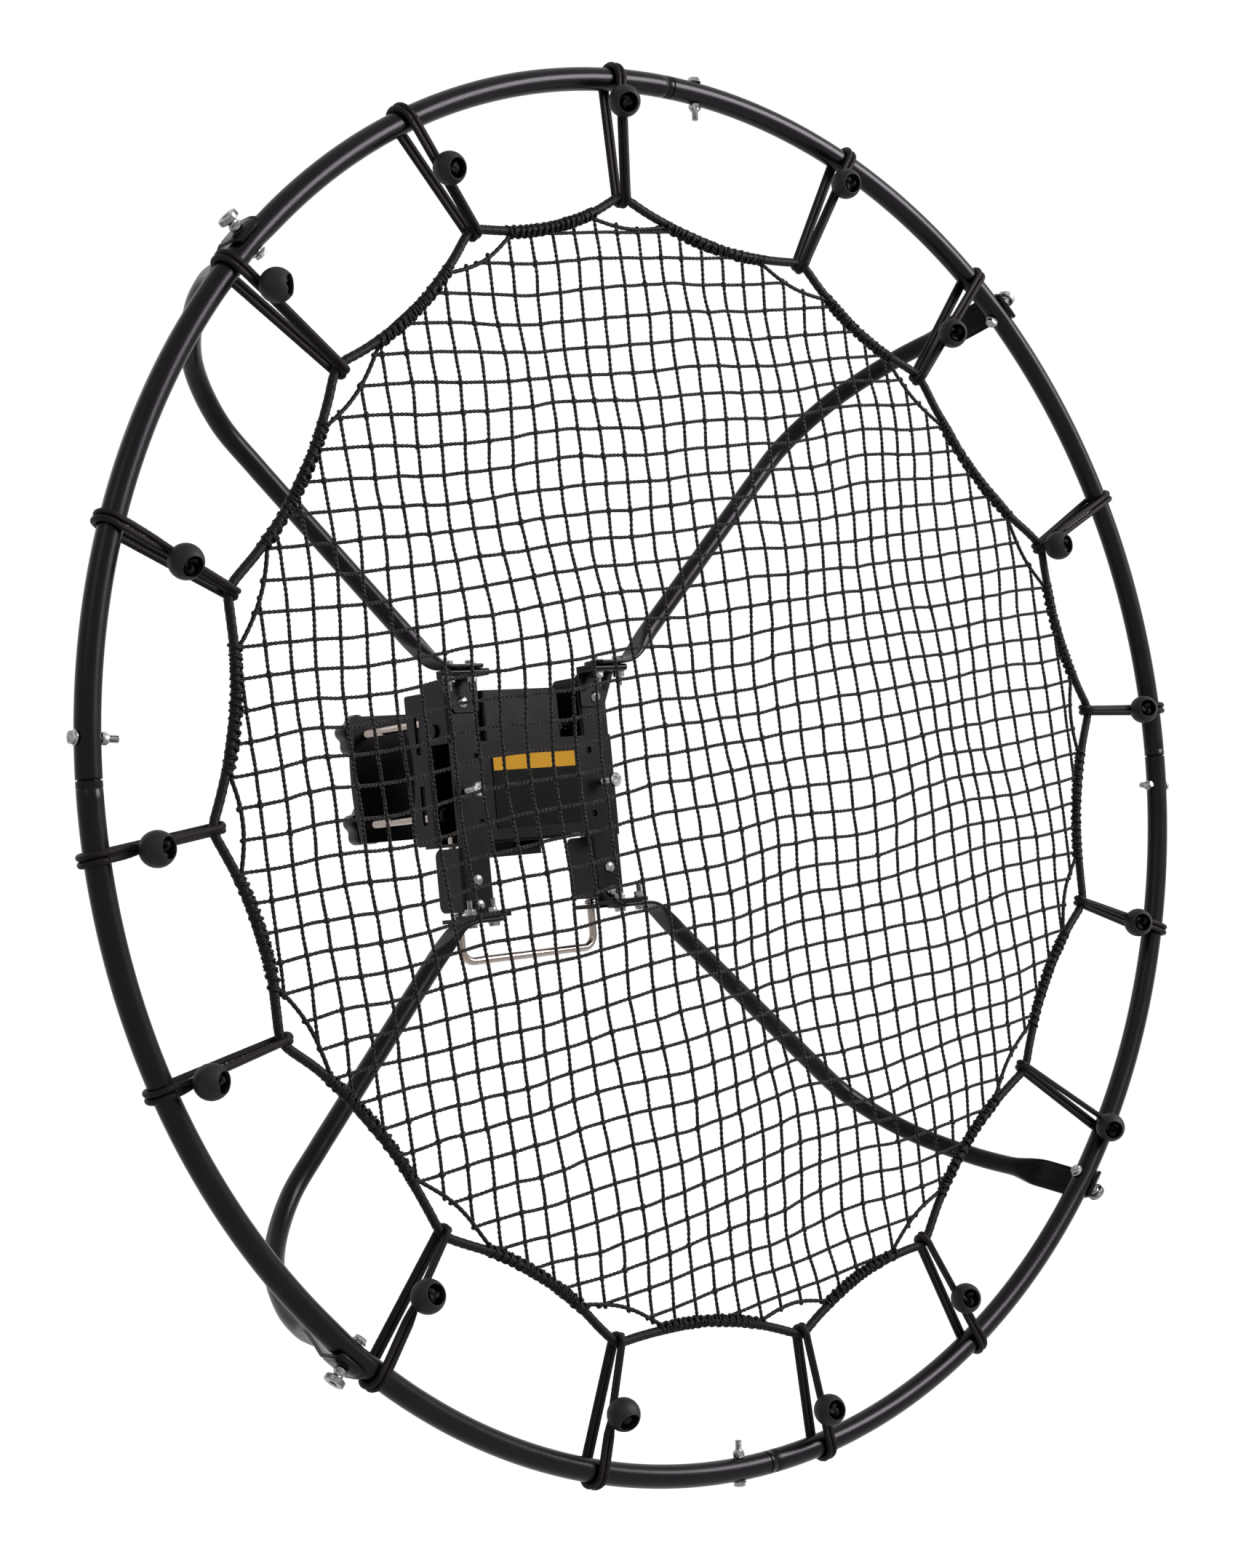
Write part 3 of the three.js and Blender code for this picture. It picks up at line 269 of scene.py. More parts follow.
def new_finish(name, colour, roughness, **sockets):
    """A material's tree, its shader and its place-on-the-object coordinates."""
    finish = bpy.data.materials.new(name)
    finish.use_nodes = True
    tree = finish.node_tree
    shader = tree.nodes["Principled BSDF"]
    shader.inputs["Base Color"].default_value = (*colour, 1)
    shader.inputs["Roughness"].default_value = roughness
    for key, value in sockets.items():
        shader.inputs[key.replace("_", " ")].default_value = value
    return finish, tree, shader, put(tree, "ShaderNodeTexCoord").outputs["Object"]


def grain_of(tree, where, scale, detail):
    """Noise of a scale and detail, round 0.5."""
    inputs = {"Vector": where, "Scale": scale, "Detail": detail}
    return put(tree, "ShaderNodeTexNoise", inputs).outputs[0]


def plus(tree, first, second, share):
    """The first value plus a share of the second."""
    return math_node(tree, "ADD", first, math_node(tree, "MULTIPLY", second, share))


def tint(tree, factor, low, high, start=0.3, end=0.7):
    """A colour between two, by a factor between two bounds."""
    ramp = put(tree, "ShaderNodeValToRGB", {"Fac": factor})
    ramp.color_ramp.elements[0].position = start
    ramp.color_ramp.elements[0].color = (*low, 1)
    ramp.color_ramp.elements[1].position = end
    ramp.color_ramp.elements[1].color = (*high, 1)
    return ramp.outputs[0]


def spread(tree, factor, low, high):
    """A value between two, by a factor from 0 to 1."""
    inputs = {"Value": factor, "To Min": low, "To Max": high}
    return put(tree, "ShaderNodeMapRange", inputs).outputs[0]


def relief(tree, shader, height, depth, strength):
    bump = put(tree, "ShaderNodeBump", {"Height": height, "Distance": depth, "Strength": strength})
    tree.links.new(bump.outputs[0], shader.inputs["Normal"])


def toned(tree, shader, shade, tones, sheen, gloss):
    """Sets a colour between two tones by one factor, and a roughness between two by another."""
    tree.links.new(tint(tree, shade, *tones), shader.inputs["Base Color"])
    tree.links.new(spread(tree, sheen, *gloss), shader.inputs["Roughness"])


def clouded(name, colour, roughness, cloud, tones, gloss, dents=None, **sockets):
    """A finish that one cloud of noise tones and dulls, with noise of its own for its relief."""
    finish, tree, shader, where = new_finish(name, colour, roughness, **sockets)
    shade = grain_of(tree, where, *cloud)
    toned(tree, shader, shade, tones, shade, gloss)
    if dents:
        relief(tree, shader, grain_of(tree, where, *dents[:2]), *dents[2:])
    return finish


# Black powder coat: a fine orange peel, a faint mottle, and specks in its gloss.
powder, tree, shader, where = new_finish(
    "powder coat", (0.003, 0.0026, 0.003), 0.3,
    Specular_IOR_Level=0.13, Specular_Tint=(0.97, 0.88, 1, 1))
mottle = grain_of(tree, where, 34, 4)
peel = grain_of(tree, where, 620, 2)
speck = grain_of(tree, where, 2600, 1)
toned(tree, shader, mottle, ((0.0016, 0.0013, 0.0015), (0.0034, 0.0029, 0.0031)),
      plus(tree, mottle, speck, 0.4), (0.2, 0.29))
relief(tree, shader, plus(tree, peel, speck, 0.3), 0.00012, 0.55)

bend, given = new_tree("ring quarter", Centre="Vector", Finish="Material", **{
    "Ring radius": "Float", "Start angle": "Float"})
place = put(bend, "GeometryNodeInputPosition").outputs[0]
straight = put(bend, "ShaderNodeSeparateXYZ", {0: place}).outputs
turned_by = math_node(bend, "DIVIDE", straight[0], given["Ring radius"])
angle = math_node(bend, "SUBTRACT", given["Start angle"], turned_by)
reach = math_node(bend, "ADD", given["Ring radius"], straight[2])
bent = put(bend, "ShaderNodeCombineXYZ", {
    0: math_node(bend, "MULTIPLY", reach, math_node(bend, "COSINE", angle)),
    1: straight[1],
    2: math_node(bend, "MULTIPLY", reach, math_node(bend, "SINE", angle)),
}).outputs[0]
placed = {0: bent, 1: given["Centre"]}
placed = put(bend, "ShaderNodeVectorMath", placed, operation="ADD").outputs[0]
moved = put(bend, "GeometryNodeSetPosition", {
    "Geometry": given["Geometry"], "Position": placed}).outputs[0]
end_tree(bend, moved, given["Finish"])

for number in range(4):
    seam = FIRST_SEAM - number * math.pi / 2
    middle = round(math.degrees(seam) - 45)
    nearest = min(ARM_ANGLES.values(), key=lambda a: abs((a - middle + 180) % 360 - 180))
    pressed_at = (seam - math.radians(nearest)) % (2 * math.pi) * RING_RADIUS
    profile = QUARTER_START + [
        (x, TUBE_HALF) for x in np.arange(QUARTER_STEP, QUARTER - 0.009, QUARTER_STEP)]
    profile += QUARTER_END
    profile += [(x, BORE_HALF) for x in np.arange(QUARTER - 0.03, 0.02, -2 * QUARTER_STEP)]
    profile += [(0.0014, BORE_HALF), (0.001, 0.0091)]
    rings = []
    turn = turns_round(QUARTER_SIDES)
    for along, radius in profile:
        press = math.exp(-(((along - pressed_at) / PRESS_REACH) ** 2))
        side, out = radius * np.cos(turn), radius * np.sin(turn)
        out = out * (1 - np.where(out > 0, PRESS_OUTSIDE, PRESS_INSIDE) * press)
        side = side * (1 + PRESS_OUTSIDE * press)
        rings.append(np.stack([np.full(QUARTER_SIDES, along), side, out], 1))
    quarter = formed(f"ring_tube_{number + 1}", skin_mesh("tube", rings, loop=True), bend, **{
        "Ring radius": RING_RADIUS, "Start angle": seam, "Centre": RING_CENTRE, "Finish": powder})
    settle(smooth(quarter), "tilt_frame", "powder_coat", f"ring_quarter_{number + 1}")

# Ring joint bolts: a flanged M6 hex bolt through each joint, its head outside the ring,
# and a lock nut with a nylon collar inside. Bright zinc-plated steel.
BOLT_ANGLES = [FIRST_SEAM - number * math.pi / 2 - 0.033 / RING_RADIUS for number in range(4)]
FLATS = 0.010
THREAD_HALF = 0.003
THREAD_PITCH = 0.001
THREAD_DEPTH = 0.00045
TURNED_SIDES = 24
RING_BOLT_END = -0.0258
# height above the tube's centre line, radius, and 1 where the hexagon cuts it
RING_NUT_ROWS = [
    (-0.0168, 0.0034, 0), (-0.0168, 0.0041, 0), (-0.0162, 0.0046, 0), (-0.0154, 0.0047, 0),
    (-0.0152, 0.0053, 1),
    (-0.0147, 0.0058, 1), (-0.0113, 0.0058, 1), (-0.0108, 0.0053, 1), (-0.0108, 0.003, 0),
]
RING_HEAD_ROWS = [
    (0.0108, 0.003, 0), (0.0108, 0.0064, 0), (0.0112, 0.0065, 0), (0.0118, 0.006, 0),
    (0.0121, 0.0057, 1),
    (0.0143, 0.0058, 1), (0.0148, 0.0052, 1), (0.0148, 0.004, 0), (0.0145, 0.0036, 0),
]


def thread(low, high, half=THREAD_HALF, pitch=THREAD_PITCH):
    """Rows of a thread's ridges between two heights."""
    rows = []
    for k in range(int((high - low) / pitch)):
        rows += [(low + k * pitch, half, 0), (low + (k + 0.5) * pitch, half - THREAD_DEPTH, 0)]
    return rows


def turned(name, rows, sides=TURNED_SIDES, loop=False):
    """A turned part on the Z axis, cut to a hexagon where its rows say so."""
    turn = turns_round(sides)
    to_flat = FLATS / 2 / np.cos(turn % (math.pi / 3) - math.pi / 6)
    rings = []
    for height, radius, is_hexagon in rows:
        reach = np.minimum(to_flat, radius) if is_hexagon else np.full(sides, radius)
        rings.append(np.stack([
            reach * np.cos(turn), reach * np.sin(turn), np.full(sides, height)], 1))
    return skin_mesh(name, rings, loop)


def stored(tree, name, kind="FLOAT_VECTOR"):
    """A value that the points carry under a name."""
    inputs = {"Name": name}
    return put(tree, "GeometryNodeInputNamedAttribute", inputs, data_type=kind).outputs[0]


set_out, given = new_tree("set out", Part="Object", Finish="Material")
one = put(set_out, "GeometryNodeObjectInfo", {"Object": given["Part"]}).outputs["Geometry"]
heading = put(set_out, "FunctionNodeEulerToRotation", {0: stored(set_out, "facing")}).outputs[0]
sizing = stored(set_out, "size")
many = put(set_out, "GeometryNodeInstanceOnPoints", {
    "Points": given["Geometry"], "Instance": one, "Rotation": heading, "Scale": sizing}).outputs[0]
end_tree(set_out, many, given["Finish"])


def aimed(axis):
    """The turn that points a part's Z axis along another."""
    return Vector(axis).to_track_quat("Z", "Y").to_matrix()


def put_out(name, mesh, places, finish):
    """A part at places: each a point, the way its axis faces, a turn, and a size if it isn't 1."""
    dots = bpy.data.meshes.new(name)
    dots.from_pydata([place[0] for place in places], [], [])
    facings = dots.attributes.new("facing", "FLOAT_VECTOR", "POINT")
    sizes = dots.attributes.new("size", "FLOAT_VECTOR", "POINT")
    for k, (_, axis, roll, *size) in enumerate(places):
        facings.data[k].vector = (aimed(axis) @ Matrix.Rotation(roll, 3, "Z")).to_euler()
        sizes.data[k].vector = size[0] if size else (1, 1, 1)
    part = stand(name + "_part", mesh)
    made = formed(name, dots, set_out, Part=part, Finish=finish)
    bpy.data.objects.remove(part)
    return made


def outward(angle):
    return Vector((math.cos(angle), 0, math.sin(angle)))


def on_ring(angle):
    return RING_CENTRE + outward(angle) * RING_RADIUS


# Zinc plate: bright and slightly clouded, with a fine grain.
zinc = clouded(
    "zinc plate", (0.6, 0.6, 0.61), 0.25, (260, 4), ((0.13, 0.13, 0.135), (0.36, 0.355, 0.35)),
    (0.16, 0.36), (1500, 3, 0.00006, 0.4), Metallic=1.0)


def turned_out(name, rows, places, finish=zinc, sides=TURNED_SIDES, loop=False, angle=30):
    """A turned part at its places, shaded smooth."""
    part = turned(name + "_turned", rows, sides, loop)
    return smooth(put_out(name, part, places, finish), angle)


ring_bolt_rows = [(RING_BOLT_END, 0.0022, 0), *thread(RING_BOLT_END + 0.0004, -0.0168)]
ring_bolts = turned_out("ring_joint_bolts", ring_bolt_rows + RING_NUT_ROWS + RING_HEAD_ROWS, [
    (on_ring(angle), outward(angle), 0.3 * k) for k, angle in enumerate(BOLT_ANGLES)])
settle(ring_bolts, "tilt_frame", "zinc", *[f"ring_bolt_{k + 1}" for k in range(4)])

# Arms: bent 19 mm steel tube, powder-coated. The outer end is pressed flat, wraps from the ring's
# outside round its front and is bolted through the tube. The inner end is pressed flat for its
# bracket's two bolts, and between them the arm sweeps back from the ring in one long bend.
ARM_HALF = 0.0095
PAD_HALF = 0.016
PRESSED_HALF = 0.002
PAD_OUT = 0.0128
PAD_WRAP = 1.0
PAD_WRAP_RISE = 0.0012
PAD_AHEAD = 0.0132
PAD_BEHIND = 0.014
TAB_HALF = 0.015
TAB_BEND = 0.121
TAB_TIP = 0.072
TAB_NECK = 0.046
TAB_FOLD = 0.014
TAB_LEVELS = {1: 0.0946, -1: -0.1556}
PAIR_Y = -0.087
ARM_COURSE = [(0.033, 0.194), (0.09, 0.504), (0.188, 0.775), (0.32, 0.922), (0.445, 0.95)]
ARM_SIDES = 40
CURVE_STEPS = 12
WRAP_STEPS = 14
PAD_HOLD = 0.042
PAD_RISE = 0.036
# the share of its width that each end keeps at its tip, and how far from the tip it narrows
PAD_END = 0.64
TAB_END = 0.62
TIP_ROUND = 0.006
# how square a section is, round or pressed, and the grooves along a pressed one
ROUND_POWER = 2
FLAT_POWER = 7
OPENING_POWER = 0.6
GROOVE_DEPTH = 0.3
GROOVE_AT = 0.77
GROOVE_HALF = 0.07
ARM_CORNERS = {
    "upper_right": (1, 1), "lower_right": (1, -1), "lower_left": (-1, -1), "upper_left": (-1, 1)}


def smooth_curve(points):
    """Points along a rounded curve through the given points."""
    points = [2 * points[0] - points[1], *points, 2 * points[-1] - points[-2]]
    curve = []
    for p0, p1, p2, p3 in zip(points, points[1:], points[2:], points[3:]):
        d0, d1, d2 = ((b - a).length ** 0.5 for a, b in ((p0, p1), (p1, p2), (p2, p3)))
        t1 = ((p1 - p0) / d0 - (p2 - p0) / (d0 + d1) + (p2 - p1) / d1) * d1
        t2 = ((p2 - p1) / d1 - (p3 - p1) / (d1 + d2) + (p3 - p2) / d2) * d1
        for k in range(CURVE_STEPS):
            t = k / CURVE_STEPS
            curve.append(p1 * (2 * t**3 - 3 * t**2 + 1) + t1 * (t**3 - 2 * t**2 + t)
                         + p2 * (3 * t**2 - 2 * t**3) + t2 * (t**3 - t**2))
    return curve + [points[-2]]


def ease(value):
    """0 up to 0, 1 from 1 on, and a smooth rise between."""
    value = min(max(value, 0), 1)
    return value * value * (3 - 2 * value)


def bulge(share):
    """A quarter circle's height at a share of its width."""
    return (1 - (1 - share) ** 2) ** 0.5


def run_to(path, end, steps):
    """Adds a straight run from a path's last point."""
    start = path[-1]
    path += [start.lerp(end, (k + 1) / steps) for k in range(steps)]


def way_at(path, k):
    """The way a path goes at one of its points."""
    return (path[min(k + 1, len(path) - 1)] - path[max(k - 1, 0)]).normalized()


def section(point, u, v, along_u, along_v):
    """A ring of points round a place, from their distances along two directions."""
    return np.array(point) + np.outer(along_u, u) + np.outer(along_v, v)


def arm_mesh(side, level):
    """One arm: its path from the pad on the ring to the tab's tip, and a section at each point."""
    angle = math.atan2(level, side)
    hold, out_way = on_ring(angle), outward(angle)
    pad = hold + out_way * PAD_OUT
    bend = Vector((side * TAB_BEND, PAIR_Y, TAB_LEVELS[level]))
    depth = PAIR_Y - RING_CENTRE.y
    flat = Vector((bend.x - pad.x, 0, bend.z - pad.z))
    inward = flat.normalized()
    across = inward.cross(Vector((0, 1, 0)))
    back = Vector((0, 1, 0))
    path = []
    for k in range(WRAP_STEPS):
        left = 1 - k / WRAP_STEPS
        reach = PAD_OUT + PAD_WRAP_RISE * left ** 2
        path.append(hold + out_way * reach * math.cos(PAD_WRAP * left)
                    - back * reach * math.sin(PAD_WRAP * left))
    path += [pad + back * PAD_BEHIND * k / 4 for k in range(4)]
    path += smooth_curve([pad + back * PAD_BEHIND] + [
        pad + flat * reach + back * depth * deep for reach, deep in ARM_COURSE])
    fold_in, fold_out = bend - inward * TAB_FOLD, bend + Vector((-side, 0, 0)) * TAB_FOLD
    tip = Vector((side * TAB_TIP, bend.y, bend.z))
    run_to(path, bend - inward * TAB_NECK, 10)
    run_to(path, fold_in, 8)
    for k in range(1, 7):
        path.append(fold_in.lerp(bend, k / 6).lerp(bend.lerp(fold_out, k / 6), k / 6))
    run_to(path, tip, 12)
    rings = []
    turn = turns_round(ARM_SIDES, 0.5)
    travelled = 0.0
    for k, point in enumerate(path):
        along = way_at(path, k)
        u = along.cross(back)
        u = across.copy() if u.length < 0.02 else u.normalized()
        if u.dot(across) < 0:
            u.negate()
        v = along.cross(u).normalized()
        travelled += (point - path[k - 1]).length if k else 0
        from_tip = (point - tip).length
        opened = ease((travelled - PAD_AHEAD - PAD_BEHIND - PAD_HOLD) / PAD_RISE)
        closed = ease(1 - (from_tip - (TAB_BEND - TAB_TIP)) / TAB_NECK)
        wide = PAD_HALF + (ARM_HALF - PAD_HALF) * opened
        thick = PRESSED_HALF + (ARM_HALF - PRESSED_HALF) * opened
        power = FLAT_POWER - (FLAT_POWER - ROUND_POWER) * opened ** OPENING_POWER
        if closed > 0:
            wide = ARM_HALF + (PRESSED_HALF - ARM_HALF) * closed
            thick = ARM_HALF + (TAB_HALF - ARM_HALF) * closed
            power = ROUND_POWER + (FLAT_POWER - ROUND_POWER) * closed
        if travelled < TIP_ROUND:
            wide *= bulge(travelled / TIP_ROUND) * (1 - PAD_END) + PAD_END
        if from_tip < TIP_ROUND:
            thick *= TAB_END + (1 - TAB_END) * bulge(from_tip / TIP_ROUND)
        c, s = np.cos(turn), np.sin(turn)
        a = np.sign(c) * np.abs(c) ** (2 / power)
        b = np.sign(s) * np.abs(s) ** (2 / power)
        if opened < 0.5 and closed == 0:
            groove = np.exp(-(((np.abs(a) - GROOVE_AT) / GROOVE_HALF) ** 2))
            b = b * (1 - GROOVE_DEPTH * (1 - 2 * opened) * groove)
        rings.append(section(point, u, v, a * wide, b * thick))
    return skin_mesh("arm", rings)


for corner, (side, level) in ARM_CORNERS.items():
    arm = stand(f"bent_arm_{corner}", arm_mesh(side, level))
    arm.data.materials.append(powder)
    settle(smooth(arm, 50), "tilt_frame", "powder_coat", f"arm_{corner}")

# Arm bolts and thumb nuts: a flanged M6 bolt goes out through ring and arm from inside the ring.
# A zinc-plated thumb nut with a hex collar, a waisted neck and a knurled disc holds each one.
ARM_BOLT_ROWS = [
    (-0.0146, 0.0034, 0), (-0.0148, 0.004, 0), (-0.0148, 0.0052, 1), (-0.0143, 0.0058, 1),
    (-0.0121, 0.0057, 1),
    (-0.0118, 0.006, 0), (-0.0112, 0.0066, 0), (-0.0108, 0.0065, 0), (-0.0108, 0.003, 0),
    (0.0112, 0.003, 0),
]
ARM_BOLT_TIP = 0.0246
# height above the tube's centre line, radius, hexagon: up the outside, and back down the bore
THUMB_NUT_ROWS = [
    (0.0151, 0.0045, 0), (0.0151, 0.0052, 1), (0.0155, 0.0058, 1), (0.0187, 0.0058, 1),
    (0.0191, 0.0052, 1),
    (0.0194, 0.0048, 0), (0.0202, 0.0045, 0), (0.0218, 0.0045, 0), (0.0227, 0.005, 0),
    (0.0231, 0.0062, 0),
    (0.0231, 0.008, 0), (0.0236, 0.0086, 0), (0.0281, 0.0086, 0), (0.0286, 0.008, 0),
    (0.0286, 0.0052, 0),
    (0.0281, 0.0047, 0), (0.0281, 0.0038, 0), (0.0278, 0.0034, 0), (0.0157, 0.0034, 0),
    (0.0151, 0.0038, 0),
]
KNURLS = 44
KNURL_HALF = 0.00034
KNURL_REACH = 0.0004
KNURL_LONG = 0.0048
DISC_HALF = 0.0086
DISC_MIDDLE = 0.02585


def knurl_mesh(length):
    """A straight ridge along Z, chamfered at both ends, on the +X side of its place."""
    rings = []
    for height, out, wide in ((-0.5, 0, 0.8), (-0.38, 1, 0.3), (0.38, 1, 0.3), (0.5, 0, 0.8)):
        x, y, z = KNURL_REACH * out, KNURL_HALF * wide, height * length
        rings.append([
            (-KNURL_REACH, -KNURL_HALF, z), (-KNURL_REACH, KNURL_HALF, z), (x, y, z), (x, -y, z)])
    return skin_mesh("knurl", rings)


def knurled(place, axis, half, length, middle, count=KNURLS):
    """Ridges round a disc, at a height above a place."""
    aim = aimed(axis)
    spots = []
    for k in range(count):
        roll = 2 * math.pi * k / count
        spot = aim @ Vector((half * math.cos(roll), half * math.sin(roll), middle))
        spots.append((Vector(place) + spot, axis, roll))
    return smooth(put_out("ridges", knurl_mesh(length), spots, zinc), 20)


def merged(name, *parts):
    """One object of several, with its place in its mesh."""
    with bpy.context.temp_override(active_object=parts[0], selected_editable_objects=list(parts)):
        bpy.ops.object.join()
    parts[0].name = name
    parts[0].data.name = name
    return parts[0]


arm_bolt_rows = ARM_BOLT_ROWS + thread(0.0112, ARM_BOLT_TIP) + [(ARM_BOLT_TIP, 0.0023, 0)]
for corner, (side, level) in ARM_CORNERS.items():
    angle = math.atan2(level, side)
    place, out_way = on_ring(angle), outward(angle)
    bolt = turned_out(f"flange_bolt_{corner}", arm_bolt_rows, [(place, out_way, 0.4)])
    settle(bolt, "tilt_frame", "zinc", f"arm_bolt_{corner}")
    nut = turned_out("nut", THUMB_NUT_ROWS, [(place, out_way, 0.1)], sides=36, loop=True)
    ridges = knurled(place, out_way, DISC_HALF, KNURL_LONG, DISC_MIDDLE)
    nut = merged(f"knurled_nut_{corner}", nut, ridges)
    settle(nut, f"thumb_nut_{corner}", "zinc", f"thumb_nut_{corner}")

# Tilt frame: one 3 mm steel plate, powder-coated, cut as two legs joined by a web.
# The legs' edges are folded back into cheeks above and below the web, round the hinge shaft above.
FRAME_FRONT = -0.071
PLATE = 0.003
LEG_INNER = 0.065
LEG_OUTER = 0.102
LEG_TOP = 0.085
LEG_BOTTOM = -0.149
WEB_TOP = 0.0215
WEB_BOTTOM = -0.0775
CHEEK_BACK = -0.028
CHEEK_CORNER = 0.008
CHEEK_SPANS = [(-0.146, -0.0825), (WEB_TOP, 0.082)]
FOLD = 0.0042
FOLD_PAST = 0.002
PIN_OUT = 0.0844
PAN_HIGH = 0.061
STUD_HEIGHTS = (-0.1405, -0.1155)
SHAFT_Y = -0.045
SHAFT_Z = 0.0355
SHAFT_HOLE = 0.0044
EDGE_ROUND = 0.0005
DISC_SIDES = 28
CORNER_STEPS = 6
# out from the middle, height and radius
LEG_HOLES = [(0.072, 0.0065, 0.0035), (0.072, -0.059, 0.0035), (0.087, -0.0265, 0.0034),
             (PIN_OUT, PAN_HIGH, 0.0034), *[(PIN_OUT, height, 0.0034) for height in STUD_HEIGHTS]]
FRONTAL = ((1, 0, 0), (0, 0, 1), (0, 1, 0))
SIDEWAYS = ((0, 1, 0), (0, 0, 1), (1, 0, 0))
LEVEL = ((1, 0, 0), (0, 1, 0), (0, 0, 1))


def disc(x, y, radius):
    """A round hole's outline."""
    turns = [2 * math.pi * k / DISC_SIDES for k in range(DISC_SIDES)]
    return [(x + radius * math.cos(turn), y + radius * math.sin(turn)) for turn in turns]


def rounded(corners):
    """An outline whose corners (place, place, radius) are rounded."""
    outline = []
    for k, (x, y, radius) in enumerate(corners):
        here = Vector((x, y))
        if radius == 0:
            outline.append((x, y))
            continue
        before = (Vector(corners[k - 1][:2]) - here).normalized()
        after = (Vector(corners[(k + 1) % len(corners)][:2]) - here).normalized()
        reach = radius / math.tan(before.angle(after) / 2)
        start, end = here + before * reach, here + after * reach
        middle = here + (before + after).normalized() * (radius / math.sin(before.angle(after) / 2))
        for step in range(CORNER_STEPS + 1):
            spot = start.lerp(end, step / CORNER_STEPS) - middle
            spot = middle + spot.normalized() * radius
            outline.append((spot.x, spot.y))
    return outline


def box_outline(x0, x1, y0, y1, radius=0.0, far_radius=None):
    """A rectangle with rounded corners; those at y1 may have a radius of their own."""
    far = radius if far_radius is None else far_radius
    return rounded([(x0, y0, radius), (x1, y0, radius), (x1, y1, far), (x0, y1, far)])


def plate_mesh(outline, low, high, axes=FRONTAL, holes=()):
    """An outline with holes, thick from `low` to `high` along the third of its axes."""
    axes = [Vector(axis) for axis in axes]
    loops = [outline, *holes]
    flat = [point for loop in loops for point in loop]
    faces = tessellate_polygon([[Vector((x, y, 0)) for x, y in loop] for loop in loops])
    count = len(flat)
    verts = [axes[0] * x + axes[1] * y + axes[2] * level for level in (low, high) for x, y in flat]
    skin = [tuple(face) for face in faces]
    skin += [tuple(k + count for k in face)[::-1] for face in faces]
    first = 0
    for loop in loops:
        for k in range(len(loop)):
            here, after = first + k, first + (k + 1) % len(loop)
            skin.append((here, after, after + count, here + count))
        first += len(loop)
    mesh = bpy.data.meshes.new("plate")
    mesh.from_pydata(verts, [], skin)
    return face_outward(mesh, join_flat=True)


def fused(name, finish, added, cut=(), edge_round=EDGE_ROUND):
    """One solid of plates, less what is cut, with its sharp edges broken."""
    made = stand(name, added[0])
    tools = []
    for operation, meshes in (("UNION", added[1:]), ("DIFFERENCE", cut)):
        for mesh in meshes:
            tools.append(stand("tool", mesh))
            step = made.modifiers.new("step", "BOOLEAN")
            step.solver = "MANIFOLD"
            step.operation = operation
            step.object = tools[-1]
    edges = made.modifiers.new("edges", "BEVEL")
    edges.width = edge_round
    edges.segments = 2
    edges.limit_method = "ANGLE"
    edges.angle_limit = math.radians(40)
    made.data = applied(made)
    for tool in tools:
        bpy.data.objects.remove(tool)
    made.data.materials.clear()
    made.data.materials.append(finish)
    smooth(made, 32)
    weighted = made.modifiers.new("flat faces first", "WEIGHTED_NORMAL")
    weighted.keep_sharp = True
    made.data = applied(made)
    return made


def fold_cut(x, y, low, high, way):
    """What rounds an upright outer edge at x, y; the plate lies behind it and toward `way`."""
    arc = [(x + way * FOLD * (1 - math.cos(t)), y + FOLD * (1 - math.sin(t)))
           for t in np.linspace(0, math.pi / 2, 9)]
    outline = [(x - way * FOLD_PAST, y - FOLD_PAST), (x - way * FOLD_PAST, y + FOLD), *arc,
               (x + way * FOLD, y - FOLD_PAST)]
    return plate_mesh(outline, low, high, LEVEL)


right_half = [(LEG_INNER, WEB_BOTTOM, 0.002), (LEG_INNER, LEG_BOTTOM, 0.003),
              (LEG_OUTER, LEG_BOTTOM, 0.004), (LEG_OUTER, LEG_TOP, 0.004),
              (LEG_INNER, LEG_TOP, 0.003), (LEG_INNER, WEB_TOP, 0.002)]
frame_outline = rounded(right_half + [(-x, z, radius) for x, z, radius in reversed(right_half)])
frame_parts = [plate_mesh(frame_outline, FRAME_FRONT, FRAME_FRONT + PLATE, holes=[
    disc(side * x, z, radius) for side in (-1, 1) for x, z, radius in LEG_HOLES])]
frame_cuts = []
for low, high in CHEEK_SPANS:
    cheek = rounded([(FRAME_FRONT + PLATE / 2, low, 0), (CHEEK_BACK, low, CHEEK_CORNER),
                     (CHEEK_BACK, high, CHEEK_CORNER), (FRAME_FRONT + PLATE / 2, high, 0)])
    hinge_hole = [disc(SHAFT_Y, SHAFT_Z, SHAFT_HOLE)] if high > 0 else []
    for left in (-LEG_OUTER, -LEG_INNER - PLATE, LEG_INNER, LEG_OUTER - PLATE):
        frame_parts.append(plate_mesh(cheek, left, left + PLATE, SIDEWAYS, hinge_hole))
    for x, way in ((-LEG_OUTER, 1), (-LEG_INNER, -1), (LEG_INNER, 1), (LEG_OUTER, -1)):
        frame_cuts.append(fold_cut(x, FRAME_FRONT, low, high, way))
folded_frame = fused("folded_tilt_frame", powder, frame_parts, frame_cuts)
settle(folded_frame, "tilt_frame", "powder_coat", "tilt_frame")
